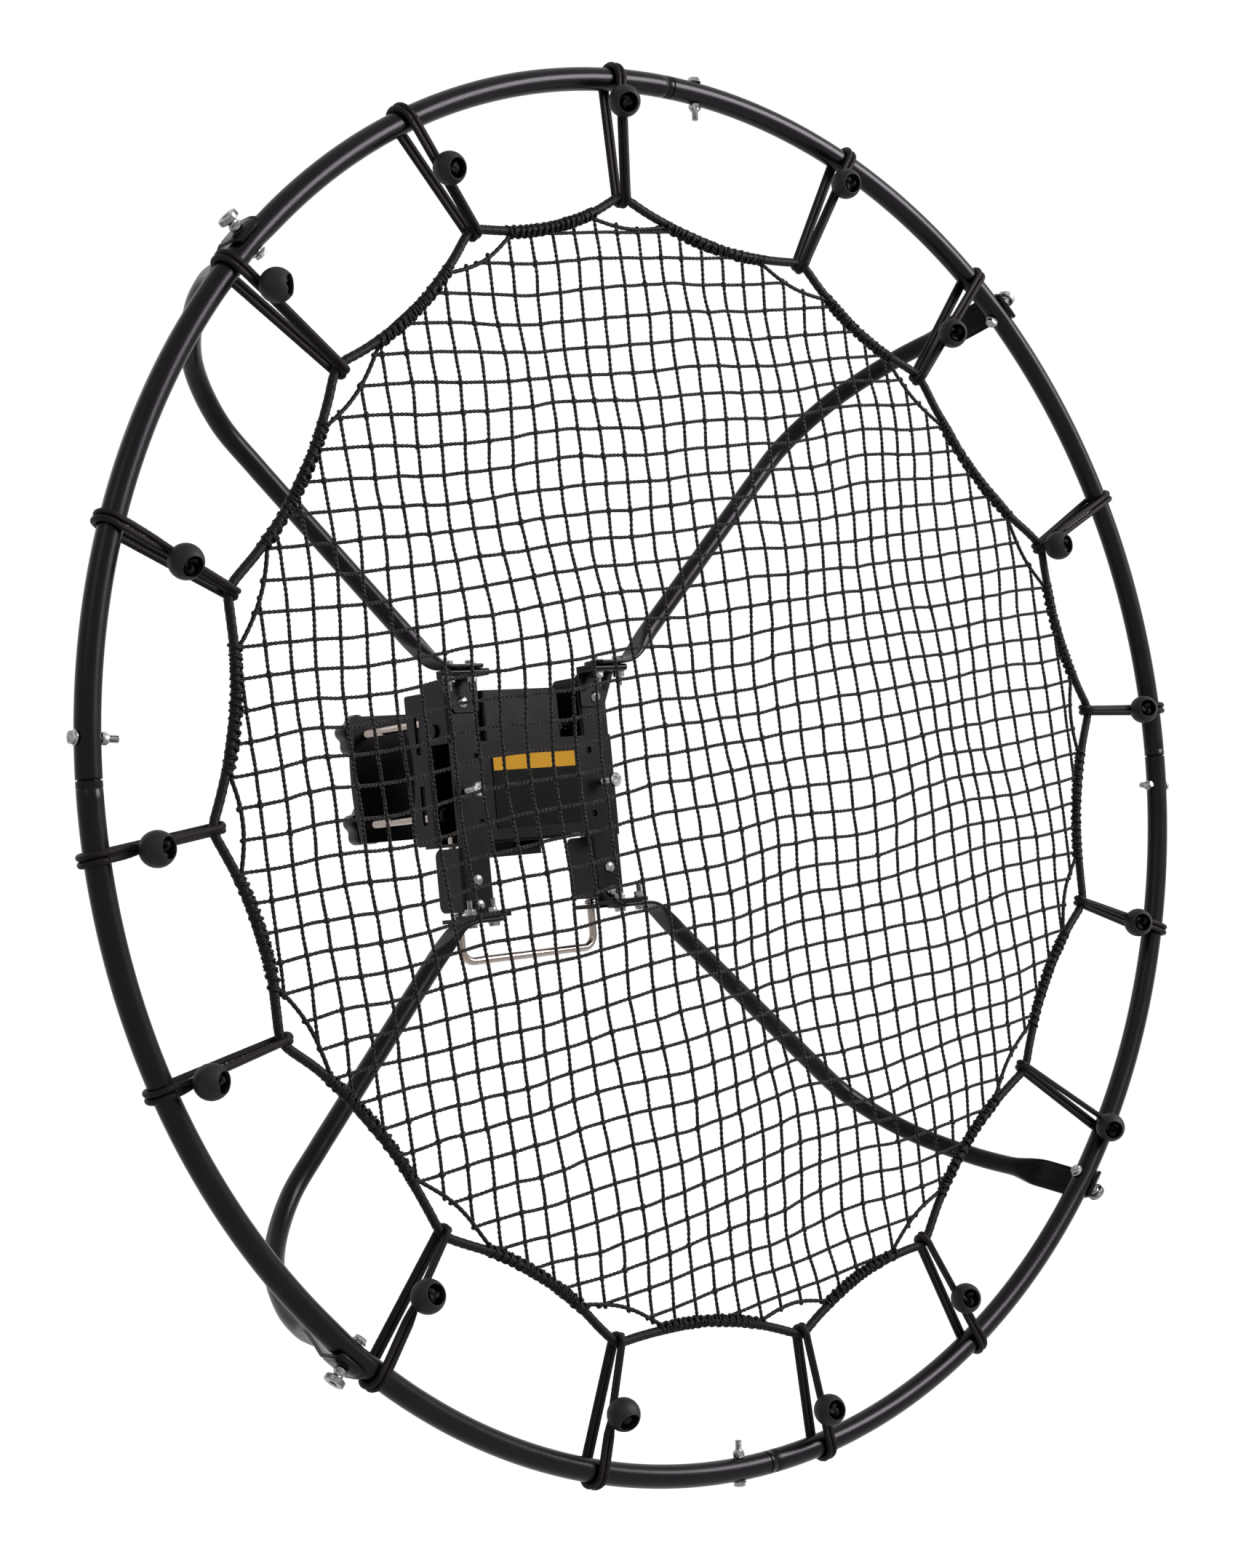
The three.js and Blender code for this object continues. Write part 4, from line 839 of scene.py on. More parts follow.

# Caps in the legs' four spare holes: plastic painted dead black as the shade of open holes, pressed
# in well below the face.
# Each is a shallow moulded plug that grips the edge of its hole.
# This finish is painted shade: near black, so that the caps read as the dark inside of open holes.
hole_shade_plastic = clouded(
    "hole shade plastic", (0.001, 0.0009, 0.0009), 0.6, (900, 3),
    ((0.0005, 0.0004, 0.0004), (0.0014, 0.0012, 0.0012)), (0.5, 0.7), (900, 3, 0.00005, 0.4),
    Specular_IOR_Level=0.05)
PLUG_ROWS = [(-0.0027, 0.0004, 0), (-0.0027, 0.0034, 0), (-0.0022, 0.0035, 0),
             (-0.002, 0.003, 0), (-0.0019, 0.0004, 0)]
plug_places = [((side * x, FRAME_FRONT, z), (0, -1, 0), 0)
               for side in (-1, 1) for x, z, _ in LEG_HOLES[:2]]
plugs = turned_out("leg_hole_plugs", PLUG_ROWS, plug_places, hole_shade_plastic, 20, angle=40)
settle(plugs, "tilt_frame", "powder_coat", "tilt_frame")

# Angle brackets: each arm's flat end is bolted to a flange by two M6 bolts with flanged nuts.
# The upper flange is folded double and its plate lies on the leg's front; the lower bracket lies
# behind the leg, held by two domed bolts, and has a lug behind it that guides the lock pin.
BRACKET_INNER = 0.0653
BRACKET_OUTER = 0.1113
FLANGE_FRONT = -0.098
BRACKET_FACE = -0.0743
UPPER_FOOT = 0.0953
UPPER_DROP = 0.051
UPPER_LOW = 0.0853
UPPER_HIGH = 0.0923
HEM = 0.0035
SLIT = 0.0003
LOWER_TOP = -0.1493
LOWER_BOTTOM = -0.1533
WALL_FRONT = -0.0677
WALL_BACK = -0.0647
WALL_TOP = -0.1095
LUG_BOTTOM = -0.1568
LUG_BACK = -0.020
LUG_HALF = 0.0145
LUG_PLATE = 0.004
PIN_Y = -0.034
PIN_HOLE = 0.0044
PAIR_OUT = (0.0805, 0.108)
UPPER_STACK = 0.0116
LOWER_STACK = 0.0086
BOLT_TAIL = 0.009
PLAY = 0.0003
DOME_ROWS = [(0, 0.003, 0), (0, 0.0058, 0), (0.0002, 0.006, 0), (0.0009, 0.0059, 0),
             (0.0018, 0.0053, 0), (0.0026, 0.004, 0), (0.003, 0.0022, 0), (0.00305, 0.0004, 0)]


def stack_bolt(stack, tail):
    """Rows of a bolt through a stack: nut at height 0 and below, head on top."""
    rows = [(-0.006 - tail, 0.0022, 0)] + thread(-0.0056 - tail, -0.0062)
    rows += [(-0.0062, 0.0034, 0), (-0.006, 0.0046, 0), (-0.0058, 0.0053, 1), (-0.0054, 0.0058, 1),
             (-0.0014, 0.0057, 1), (-0.0012, 0.006, 0), (-0.0003, 0.0066, 0),
             (0, 0.0065, 0), (0, 0.003, 0)]
    rows += [(stack, 0.003, 0), (stack, 0.0064, 0), (stack + 0.0004, 0.0065, 0),
             (stack + 0.001, 0.006, 0), (stack + 0.0012, 0.0057, 1), (stack + 0.0035, 0.0058, 1),
             (stack + 0.004, 0.0052, 1),
             (stack + 0.004, 0.004, 0), (stack + 0.0037, 0.0036, 0)]
    return rows


for place, side in (("left", -1), ("right", 1)):
    left, right = sorted((side * BRACKET_INNER, side * BRACKET_OUTER))
    middle = (UPPER_LOW + UPPER_HIGH) / 2
    rear = BRACKET_FACE + PLATE
    face = rounded([
        (side * BRACKET_INNER, UPPER_DROP, 0.003), (side * UPPER_FOOT, UPPER_DROP, 0.004),
        (side * BRACKET_OUTER, UPPER_LOW, 0.004), (side * BRACKET_OUTER, UPPER_HIGH - HEM / 2, 0),
        (side * BRACKET_INNER, UPPER_HIGH - HEM / 2, 0)])
    hem = [(FLANGE_FRONT + HEM * (1 - math.cos(t)), middle + HEM * math.sin(t))
           for t in np.linspace(-math.pi / 2, math.pi / 2, 9)]
    flange = [(rear, UPPER_LOW), *hem, (rear, UPPER_HIGH), (rear, middle + SLIT),
              (FLANGE_FRONT + HEM, middle + SLIT), (FLANGE_FRONT + HEM, middle - SLIT),
              (rear, middle - SLIT)]
    bracket = fused(f"folded_upper_bracket_{place}", powder, [
        plate_mesh(face, BRACKET_FACE, rear), plate_mesh(flange, left, right, SIDEWAYS)])
    pair = turned_out("pair", stack_bolt(UPPER_STACK, BOLT_TAIL), [
        ((side * out, PAIR_Y, UPPER_LOW), (0, 0, 1), 0.35 + out * 9) for out in PAIR_OUT])
    pan = turned_out("pan", DOME_ROWS, [((side * PIN_OUT, BRACKET_FACE, PAN_HIGH), (0, -1, 0), 0)])
    nut = turned_out("nut", stack_bolt(0.0005, 0.002), [
        ((side * PIN_OUT, WALL_FRONT, PAN_HIGH), (0, -1, 0), 0.2)])
    hardware = merged(f"upper_bracket_bolts_{place}", pair, pan, nut)
    settle(bracket, "tilt_frame", "powder_coat", f"upper_bracket_{place}")
    settle(hardware, "tilt_frame", "zinc", f"upper_bracket_{place}")

    wall = sorted((side * (LEG_INNER + PLATE + PLAY), side * (LEG_OUTER - PLATE - PLAY)))
    wall = box_outline(*wall, LOWER_BOTTOM, WALL_TOP, 0, 0.006)
    lug = sorted((side * (PIN_OUT - LUG_HALF), side * (PIN_OUT + LUG_HALF)))
    lug = box_outline(*lug, WALL_FRONT, LUG_BACK, 0, 0.007)
    shelf = box_outline(left, right, FLANGE_FRONT, WALL_BACK, 0.003, 0.002)
    pin_hole = [disc(side * PIN_OUT, PIN_Y, PIN_HOLE)]
    bracket = fused(f"folded_lower_bracket_{place}", powder, [
        plate_mesh(wall, WALL_FRONT, WALL_BACK), plate_mesh(shelf, LOWER_BOTTOM, LOWER_TOP, LEVEL),
        plate_mesh(lug, LUG_BOTTOM, LUG_BOTTOM + LUG_PLATE, LEVEL, pin_hole)])
    pair = turned_out("pair", stack_bolt(LOWER_STACK, BOLT_TAIL), [
        ((side * out, PAIR_Y, LOWER_TOP), (0, 0, -1), 0.5 - out * 7) for out in PAIR_OUT])
    studs = turned_out("studs", DOME_ROWS, [
        ((side * PIN_OUT, FRAME_FRONT - PLAY, z), (0, -1, 0), 0) for z in STUD_HEIGHTS])
    hardware = merged(f"lower_bracket_bolts_{place}", pair, studs)
    settle(bracket, "tilt_frame", "powder_coat", f"lower_bracket_{place}")
    settle(hardware, "tilt_frame", "zinc", f"lower_bracket_{place}")

# Thumb screws: zinc-plated M6 screws with knurled heads, one through each leg beside the web.
# They are turned from bar and screwed in from the front by hand.
THUMB_PLACE = (0.087, -0.089, -0.0265)
THUMB_HALF = 0.0067
THUMB_ROWS = [
    (-0.030, 0.0022, 0), *thread(-0.0296, -0.0002), (0, 0.003, 0), (0, 0.0062, 0),
    (0.0005, THUMB_HALF, 0), (0.0035, THUMB_HALF, 0), (0.004, 0.0062, 0), (0.004, 0.0034, 0),
    (0.0035, 0.0028, 0), (0.0034, 0.0005, 0)]
for place, side in (("left", -1), ("right", 1)):
    spot = (side * THUMB_PLACE[0], *THUMB_PLACE[1:])
    screw = turned_out("screw", THUMB_ROWS, [(spot, (0, -1, 0), 0)], sides=36)
    screw = merged(f"knurled_screw_{place}", screw, knurled(
        spot, (0, -1, 0), THUMB_HALF, 0.0038, 0.002, 36))
    settle(screw, f"thumb_screw_{place}", "zinc", f"thumb_screw_{place}")

# Label: a printed sheet stuck to the web, black and blank, with a plain amber band along its top.
# It is thin plastic film with rounded corners.
LABEL_HALF = 0.0535
LABEL_LOW = -0.0665
LABEL_HIGH = 0.0085
BAND = 0.017
LABEL_RIM = 0.0016
LABEL_FRONT = -0.0719
LABEL_BACK = -0.0713


def mixed(tree, factor, first, second):
    """The first colour where a factor is 0, and the second where it is 1."""
    inputs = {0: factor, 6: first, 7: second}
    return put(tree, "ShaderNodeMix", inputs, data_type="RGBA").outputs[2]


printed, tree, shader, where = new_finish(
    "printed label", (0.004, 0.0036, 0.004), 0.4, Specular_IOR_Level=0.04)
across, _, height = put(tree, "ShaderNodeSeparateXYZ", {0: where}).outputs
in_band = math_node(tree, "GREATER_THAN", height, LABEL_HIGH - BAND)
rim_up = math_node(tree, "SUBTRACT", height, (LABEL_LOW + LABEL_HIGH) / 2)
rim_up = math_node(tree, "ABSOLUTE", rim_up)
rim_up = math_node(tree, "SUBTRACT", rim_up, (LABEL_HIGH - LABEL_LOW) / 2 - LABEL_HALF)
at_rim = math_node(tree, "MAXIMUM", rim_up, math_node(tree, "ABSOLUTE", across))
at_rim = math_node(tree, "GREATER_THAN", at_rim, LABEL_HALF - LABEL_RIM)
ink = grain_of(tree, where, 900, 3)
dark = tint(tree, ink, (0.0018, 0.0016, 0.0018), (0.0036, 0.0032, 0.0034))
amber = tint(tree, ink, (0.37, 0.18, 0.013), (0.43, 0.22, 0.019))
colour = mixed(tree, at_rim, mixed(tree, in_band, dark, amber), dark)
tree.links.new(colour, shader.inputs["Base Color"])
tree.links.new(spread(tree, ink, 0.34, 0.5), shader.inputs["Roughness"])
relief(tree, shader, ink, 0.00004, 0.4)
label_outline = box_outline(-LABEL_HALF, LABEL_HALF, LABEL_LOW, LABEL_HIGH, 0.003)
label_plate = plate_mesh(label_outline, LABEL_FRONT, LABEL_BACK)
label_sheet = fused("blank_label", printed, [label_plate], edge_round=0.0001)
settle(label_sheet, "tilt_frame", "label", "label_panel")

# Lock handle: a U of bright 8 mm steel rod. Its two ends are the lock pins, each with a clip
# pressed on, and a coil spring between the clip and the lug pushes the pin up.
ROD_HALF = 0.004
HANDLE_DROP = -0.1965
HANDLE_BEND = 0.014
PIN_TOP = -0.0705
CLIP_LOW = -0.1342
SPRING_LOW = -0.1523
SPRING_HIGH = -0.1347
SPRING_MEAN = 0.0054
SPRING_WIRE = 0.0007
SPRING_TURNS = 6
SPRING_STEPS = 24
# shares of the rod's thickness at its tips, and the clips' rows
ROD_TIP = (0.62, 0.85, 0.98)
CLIP_ROWS = [(0, 0.0041, 0), (0, 0.0061, 0), (0.0003, 0.0065, 0), (0.0013, 0.0065, 0),
             (0.0016, 0.0061, 0), (0.0016, 0.0041, 0)]

bright_rod, tree, shader, where = new_finish("bright rod", (0.72, 0.66, 0.6), 0.16, Metallic=1.0)
drawn = put(tree, "ShaderNodeMapping", {"Vector": where, "Scale": (90, 90, 900)}).outputs[0]
streak = grain_of(tree, drawn, 5, 3)
toned(tree, shader, streak, ((0.21, 0.18, 0.16), (0.42, 0.36, 0.325)),
      grain_of(tree, where, 400, 4), (0.1, 0.28))
relief(tree, shader, streak, 0.00003, 0.4)


def rod_mesh(path, half, sides, ends):
    """A round rod along a path in the XZ plane; `ends` gives how its last sections narrow."""
    rings = []
    turn = turns_round(sides)
    for k, point in enumerate(path):
        along = way_at(path, k)
        u = along.cross(Vector((0, 1, 0))).normalized()
        from_end = min(k, len(path) - 1 - k)
        radius = half * (ends[from_end] if from_end < len(ends) else 1)
        rings.append(section(
            point, u, along.cross(u), np.cos(turn) * radius, np.sin(turn) * radius))
    return skin_mesh("rod", rings)


half_path = [Vector((PIN_OUT, PIN_Y, PIN_TOP - step)) for step in (0, 0.0006, 0.0016, 0.002)]
half_path += [Vector((PIN_OUT, PIN_Y, z))
              for z in np.linspace(-0.08, HANDLE_DROP + HANDLE_BEND, 14)]
for turn in np.linspace(0, math.pi / 2, 12)[1:]:
    half_path.append(Vector((PIN_OUT - HANDLE_BEND * (1 - math.cos(turn)), PIN_Y,
                             HANDLE_DROP + HANDLE_BEND * (1 - math.sin(turn)))))
half_path += [Vector((x, PIN_Y, HANDLE_DROP + 0.0003 * math.sin(x * 40)))
              for x in np.linspace(0.06, 0.01, 6)]
whole_path = half_path + [Vector((-p.x, p.y, p.z)) for p in reversed(half_path)]
handle = stand("handle_rod", rod_mesh(whole_path, ROD_HALF, 24, ROD_TIP))
handle.data.materials.append(bright_rod)
clips = turned_out("clips", CLIP_ROWS, [
    ((side * PIN_OUT, PIN_Y, CLIP_LOW), (0, 0, 1), 0) for side in (-1, 1)], sides=28)
handle = merged("lock_handle_rod", smooth(handle, 40), clips)
settle(handle, "lock_handle", "zinc", "lock_handle")

spring_steel = clouded(
    "spring steel", (0.36, 0.35, 0.35), 0.3, (700, 3), ((0.16, 0.155, 0.16), (0.34, 0.33, 0.32)),
    (0.2, 0.4), Metallic=1.0)
for place, side in (("left", -1), ("right", 1)):
    rings = []
    steps = SPRING_TURNS * SPRING_STEPS
    round_wire = turns_round(8)
    for k in range(steps + 1):
        turn = 2 * math.pi * k / SPRING_STEPS
        share = k / steps
        rise = np.interp(share, [0, 1 / 6, 5 / 6, 1], [0, 0.06, 0.94, 1])
        out = Vector((math.cos(turn), math.sin(turn), 0))
        middle = Vector((side * PIN_OUT, PIN_Y, SPRING_LOW + SPRING_WIRE)) + out * SPRING_MEAN
        middle.z += (SPRING_HIGH - SPRING_LOW - 2 * SPRING_WIRE) * rise
        rings.append(section(middle, out, (0, 0, 1), np.cos(round_wire) * SPRING_WIRE,
                             np.sin(round_wire) * SPRING_WIRE))
    spring = stand(f"coil_spring_{place}", skin_mesh("spring", rings))
    spring.data.materials.append(spring_steel)
    settle(smooth(spring, 50), "tilt_frame", "zinc", f"lock_spring_{place}")
    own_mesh(spring)

# Mount: the front jaw, the box that the frame hinges on and the slotted lock plate.
# They are 3 mm steel plate, folded and welded into one piece, and powder-coated.
JAW_HALF = 0.08
JAW_TALL = 0.0775
JAW_CHEEK = 0.033
JAW_HOLLOW = 0.006
CLAMP_PLACES = {"upper_left": (-0.066, 0.048), "upper_right": (0.066, 0.048),
                "lower_left": (-0.066, -0.048), "lower_right": (0.066, -0.048)}
BOX_HALF = 0.05
BOX_FRONT = -0.058
BOX_LOW = -0.076
BOX_HIGH = 0.0735
BOX_FLOOR = (-0.078, -0.0755)
LOCK_LOW = -0.0805
LOCK_HIGH = -0.0775
LOCK_HALF = 0.096
LOCK_FRONT = -0.0621
PIN_SLOT = (-0.0591, -0.0292)
PIN_PLAY = 0.0048
BOX_ROOT = -0.0025
TRAY_HALF = 0.032
TRAY_FRONT = -0.031
TRAY_LOW = -0.0945
TRAY_LIP = -0.0872
TRAY_BACK = -0.0055
TRAY_PLATE = 0.0022
OVERLAP = 0.001

cheek_side = [(-PLATE, -JAW_TALL), (JAW_CHEEK - 0.002, -JAW_TALL), (JAW_CHEEK, -JAW_TALL + 0.002),
              (JAW_CHEEK, -JAW_TALL / 2)]
for t in np.linspace(0, 1, 17)[1:]:
    dip = 4 * t * (1 - t) * JAW_HOLLOW
    cheek_side.append((JAW_CHEEK - dip, -JAW_TALL / 2 + JAW_TALL * t))
cheek_side += [(JAW_CHEEK, JAW_TALL - 0.002), (JAW_CHEEK - 0.002, JAW_TALL), (-PLATE, JAW_TALL)]
strap_slots = [box_outline(0.011, 0.019, z - 0.0215, z + 0.0215, 0.0039) for z in (-0.036, 0.036)]
jaw_face = box_outline(-JAW_HALF, JAW_HALF, -JAW_TALL, JAW_TALL, 0.0015)
bolt_holes = [disc(x, z, 0.0043) for x, z in CLAMP_PLACES.values()]
box_front = box_outline(-BOX_HALF, BOX_HALF, BOX_LOW, BOX_HIGH)
box_side = box_outline(BOX_FRONT + 0.0005, BOX_ROOT, BOX_LOW, BOX_HIGH)
shaft_hole = [disc(SHAFT_Y, SHAFT_Z, 0.0043)]
lock_plate = box_outline(-LOCK_HALF, LOCK_HALF, LOCK_FRONT, BOX_ROOT, 0.005, 0.002)
pin_slots = [box_outline(side * PIN_OUT - PIN_PLAY, side * PIN_OUT + PIN_PLAY, *PIN_SLOT, 0.0045)
             for side in (-1, 1)]
box_floor = box_outline(-BOX_HALF, BOX_HALF, BOX_FRONT, BOX_ROOT)
tray = box_outline(-TRAY_HALF, TRAY_HALF, TRAY_FRONT, BOX_ROOT, 0.005, 0)
tray_lip = box_outline(-TRAY_HALF + 0.004, TRAY_HALF - 0.004, TRAY_LOW, TRAY_LIP)
tray_back = box_outline(-TRAY_HALF, TRAY_HALF, TRAY_LOW, LOCK_LOW + OVERLAP)
tray_side = box_outline(TRAY_FRONT + 0.004, BOX_ROOT, TRAY_LOW, LOCK_LOW + OVERLAP)
mount_parts = [plate_mesh(jaw_face, -PLATE, 0, holes=bolt_holes)]
mount_parts += [plate_mesh(cheek_side, left, left + PLATE, SIDEWAYS, strap_slots)
                for left in (-JAW_HALF, JAW_HALF - PLATE)]
mount_parts.append(plate_mesh(box_front, BOX_FRONT, BOX_FRONT + PLATE))
mount_parts += [plate_mesh(box_side, left, left + PLATE, SIDEWAYS, shaft_hole)
                for left in (-BOX_HALF, BOX_HALF - PLATE)]
mount_parts += [
    plate_mesh(lock_plate, LOCK_LOW, LOCK_HIGH, LEVEL, pin_slots),
    plate_mesh(box_floor, *BOX_FLOOR, LEVEL),
    plate_mesh(tray, TRAY_LOW, TRAY_LOW + TRAY_PLATE, LEVEL),
    plate_mesh(tray_lip, TRAY_FRONT, TRAY_FRONT + TRAY_PLATE),
    plate_mesh(tray_back, TRAY_BACK, BOX_ROOT)]
mount_parts += [plate_mesh(tray_side, left, left + TRAY_PLATE, SIDEWAYS)
                for left in (-TRAY_HALF, TRAY_HALF - TRAY_PLATE)]
mount_cuts = [fold_cut(-side * BOX_HALF, BOX_FRONT, BOX_LOW, BOX_HIGH + OVERLAP, side)
              for side in (1, -1)]
mount_cuts += [fold_cut(side * JAW_HALF, -PLATE, -JAW_TALL - OVERLAP, JAW_TALL + OVERLAP, -side)
               for side in (-1, 1)]
mount = fused("welded_mount", powder, mount_parts, mount_cuts)
settle(mount, "mount", "powder_coat", "mount_jaw")

# Hinge shaft: an 8 mm zinc-plated pin through both legs and the box. The head welded on at each
# end is coated with the mount.
SHAFT_END = 0.1023
SHAFT_PLACE = (0, SHAFT_Y, SHAFT_Z)
SHAFT_ROWS = [(-SHAFT_END - 0.001, 0.004, 0), (SHAFT_END + 0.001, 0.004, 0)]
SHAFT_HEAD = [(SHAFT_END, 0.0005, 0), (SHAFT_END, 0.0066, 0), (0.1028, 0.007, 0),
              (0.1048, 0.007, 0), (0.1053, 0.0062, 0), (0.1053, 0.0005, 0)]
shaft = turned_out("headed_hinge_shaft", SHAFT_ROWS, [(SHAFT_PLACE, (1, 0, 0), 0)], sides=32)
settle(shaft, "mount", "zinc", "tilt_shaft")
heads = turned_out("hinge_shaft_heads", SHAFT_HEAD, [
    (SHAFT_PLACE, (side, 0, 0), 0) for side in (-1, 1)], powder, 32)
settle(heads, "mount", "powder_coat", "tilt_shaft")

# Clamp bolts: four bright M8 bolts with low round heads join the jaws. They are smooth between
# the jaws, and threaded where the rear jaw and its knobs sit.
CLAMP_FACE = -0.0033
CLAMP_HALF = 0.004
CLAMP_PITCH = 0.00125
CLAMP_SMOOTH = 0.094
CLAMP_END = 0.154
# height from the head's seat, and radius
CLAMP_HEAD = [(CLAMP_FACE - rise, radius, 0) for rise, radius in (
    (0.003, 0.0005), (0.003, 0.006), (0.0024, 0.0074), (0.0009, 0.0088), (0.0003, 0.009),
    (0, 0.0088), (0, 0.0005))]
CLAMP_ROWS = [
    (CLAMP_FACE + 0.0001, CLAMP_HALF, 0), (CLAMP_SMOOTH, CLAMP_HALF, 0),
    *thread(CLAMP_SMOOTH + 0.001, CLAMP_END - 0.001, CLAMP_HALF, CLAMP_PITCH),
    (CLAMP_END, 0.0031, 0)]
for place, (x, z) in CLAMP_PLACES.items():
    spot = [((x, 0, z), (0, 1, 0), 0)]
    bolt = turned_out(f"jaw_bolt_{place}", CLAMP_ROWS, spot, bright_rod)
    settle(bolt, "mount", "zinc", f"clamp_bolt_{place}")
    head = turned_out(f"jaw_bolt_head_{place}", CLAMP_HEAD, spot, powder)
    settle(head, "mount", "powder_coat", f"clamp_bolt_{place}")

# Rear jaw: a powder-coated steel plate with bowed sides, each folded back into a rim.
# It slides on the four clamp bolts, and the clamp knobs press it forward.
REAR_FRONT = 0.127
REAR_BACK = 0.131
REAR_RIM = 0.136
REAR_TALL = 0.067
REAR_BULGE = 0.006


def bowed(inset, tall):
    """The rear jaw's outline, inset from its bowed sides."""
    half = JAW_HALF - inset
    sides = [(half + 4 * t * (1 - t) * REAR_BULGE, -tall + 2 * tall * t)
             for t in np.linspace(0, 1, 17)]
    return sides + [(-x, -z) for x, z in sides]


rear_plate = plate_mesh(bowed(0, REAR_TALL), REAR_FRONT, REAR_RIM, holes=[
    disc(x, z, 0.0044) for x, z in CLAMP_PLACES.values()])
rear_hollow = plate_mesh(bowed(0.004, REAR_TALL + 0.002), REAR_BACK, REAR_RIM + 0.002)
rear = fused("bowed_rear_jaw", powder, [rear_plate], [rear_hollow], 0.0009)
settle(rear, "rear_jaw", "powder_coat", "rear_jaw")

# Clamp knobs: black moulded plastic, with five rounded lobes, a hub and a raised ring on the back.
# Each is screwed onto its clamp bolt, behind the rear jaw.
KNOB_LOBES = 5
KNOB_SIDES = 100
KNOB_VALLEY = 0.0052
KNOB_SEAT = 0.1313
# height from the seat, radius, how much of the lobes: up the outside, and back down the bore
KNOB_ROWS = [
    (0, 0.0095, 0), (0, 0.0104, 0), (0.0006, 0.011, 0), (0.0072, 0.011, 0),
    (0.0086, 0.0122, 0.1), (0.0091, 0.0155, 0.5),
    (0.0092, 0.0198, 0.9), (0.0098, 0.0213, 1), (0.011, 0.0222, 1), (0.0135, 0.0225, 1),
    (0.0225, 0.0225, 1),
    (0.0248, 0.0221, 1), (0.0263, 0.021, 1), (0.0269, 0.0194, 0.9), (0.027, 0.0172, 0.5),
    (0.0269, 0.0152, 0.1),
    (0.0262, 0.0143, 0), (0.0252, 0.0138, 0), (0.0252, 0.0092, 0), (0.0256, 0.0086, 0),
    (0.0267, 0.0082, 0),
    (0.027, 0.0076, 0), (0.027, 0.005, 0), (0.0266, 0.0044, 0), (0.0004, 0.0044, 0), (0, 0.0048, 0),
]
knob_plastic = clouded(
    "knob plastic", (0.006, 0.0055, 0.006), 0.36, (420, 3),
    ((0.0042, 0.004, 0.0042), (0.008, 0.0076, 0.0078)), (0.28, 0.46), (1800, 2, 0.00008, 0.4),
    Specular_IOR_Level=0.25)
for place, (x, z) in CLAMP_PLACES.items():
    rings = []
    turn = turns_round(KNOB_SIDES)
    valley = (0.5 - 0.5 * np.cos(KNOB_LOBES * turn)) ** 1.4
    for height, radius, lobed in KNOB_ROWS:
        reach = radius - KNOB_VALLEY * lobed * valley
        level = np.full(KNOB_SIDES, KNOB_SEAT + height)
        rings.append(np.stack([x + reach * np.sin(turn), level, z + reach * np.cos(turn)], 1))
    knob = stand(f"lobed_knob_{place}", skin_mesh("knob", rings, loop=True))
    knob.data.materials.append(knob_plastic)
    settle(smooth(knob, 45), f"clamp_knob_{place}", "knob_plastic", f"clamp_knob_{place}")

# Net: square mesh of twisted black nylon cord, knotted at each crossing, 25.4 mm from knot to knot.
# Its selvage is lashed to a braided border rope along the middle of each span, and crosses straight
# inside each corner, where a bungee draws the rope out.
CORNERS = 16
CORNER_SHIFTS = [
    3.5, 0.7, 4.6, 2.8, 5.3, 2.6, 2.0, 4.1, 2.5, -0.8, 1.6, 2.6, 4.1, 1.3, 4.2, 3.7]
CORNER_SHARES = [
    0.842, 0.83, 0.786, 0.807, 0.833, 0.836, 0.812, 0.831, 0.841, 0.83, 0.809, 0.832, 0.839,
    0.819, 0.79, 0.823]
SCALLOP = 0.075
LASHED_FROM = 0.23
CORNER_BOW = 0.013
EDGE_INSET = 0.003
SLACK_REACH = 0.035
MESH_PITCH = 0.0254
COLUMN_TURN = math.radians(2.8)
ROW_TURN = math.radians(5.5)
COLUMN_PHASE = 0.35
ROW_PHASE = 0.6
MESH_CORD = 0.0018
MESH_CORD_FLATNESS = 0.8
MESH_LAY = 0.0085
MESH_STEP = 0.0015
SHORTEST_CORD = 0.012
ROPE_HALF = 0.0038
SELVAGE_HALF = 0.0021
SELVAGE_IN = 0.0043
LASHING_HALF = 0.0015
LASHING_STEPS = 240
NET_SAMPLE = 0.006
NET_SEED = 7
noise.seed_set(NET_SEED)


def angle_of(tree, place):
    parts = put(tree, "ShaderNodeSeparateXYZ", {0: place}).outputs
    return math_node(tree, "ARCTAN2", parts[1], parts[0])


def carrying(tree, shape, name, value, kind):
    """A shape whose points carry a value under a name."""
    return put(tree, "GeometryNodeStoreNamedAttribute", {
        "Geometry": shape, "Name": name, "Value": value}, data_type=kind, domain="POINT").outputs[0]


def cord_course(tree, given):
    """A cord's course from edges, with its length so far stored as an attribute."""
    course = put(tree, "GeometryNodeMeshToCurve", {"Mesh": given["Geometry"]}).outputs[0]
    inputs = {"Curve": course, "Length": given["Step"]}
    course = put(tree, "GeometryNodeResampleCurve", inputs, mode="LENGTH").outputs[0]
    length = put(tree, "GeometryNodeSplineParameter").outputs["Length"]
    return carrying(tree, course, "along", length, "FLOAT"), length


def cord_profile(tree, given, flatness=None):
    """A cord's section, with its direction from the cord's middle stored as an attribute."""
    inputs = {"Resolution": given["Sides"], "Radius": given["Radius"]}
    ring = put(tree, "GeometryNodeCurvePrimitiveCircle", inputs).outputs[0]
    where = put(tree, "GeometryNodeInputPosition").outputs[0]
    ring = carrying(tree, ring, "around", where, "FLOAT_VECTOR")
    if flatness is None:
        return ring
    size = put(tree, "ShaderNodeCombineXYZ", {0: 1.0, 1: flatness, 2: 1.0}).outputs[0]
    return put(tree, "GeometryNodeTransform", {"Geometry": ring, "Scale": size}).outputs[0]


def swept(tree, course, profile):
    """A section carried along a course."""
    inputs = {"Curve": course, "Profile Curve": profile, "Fill Caps": True}
    return put(tree, "GeometryNodeCurveToMesh", inputs).outputs[0]


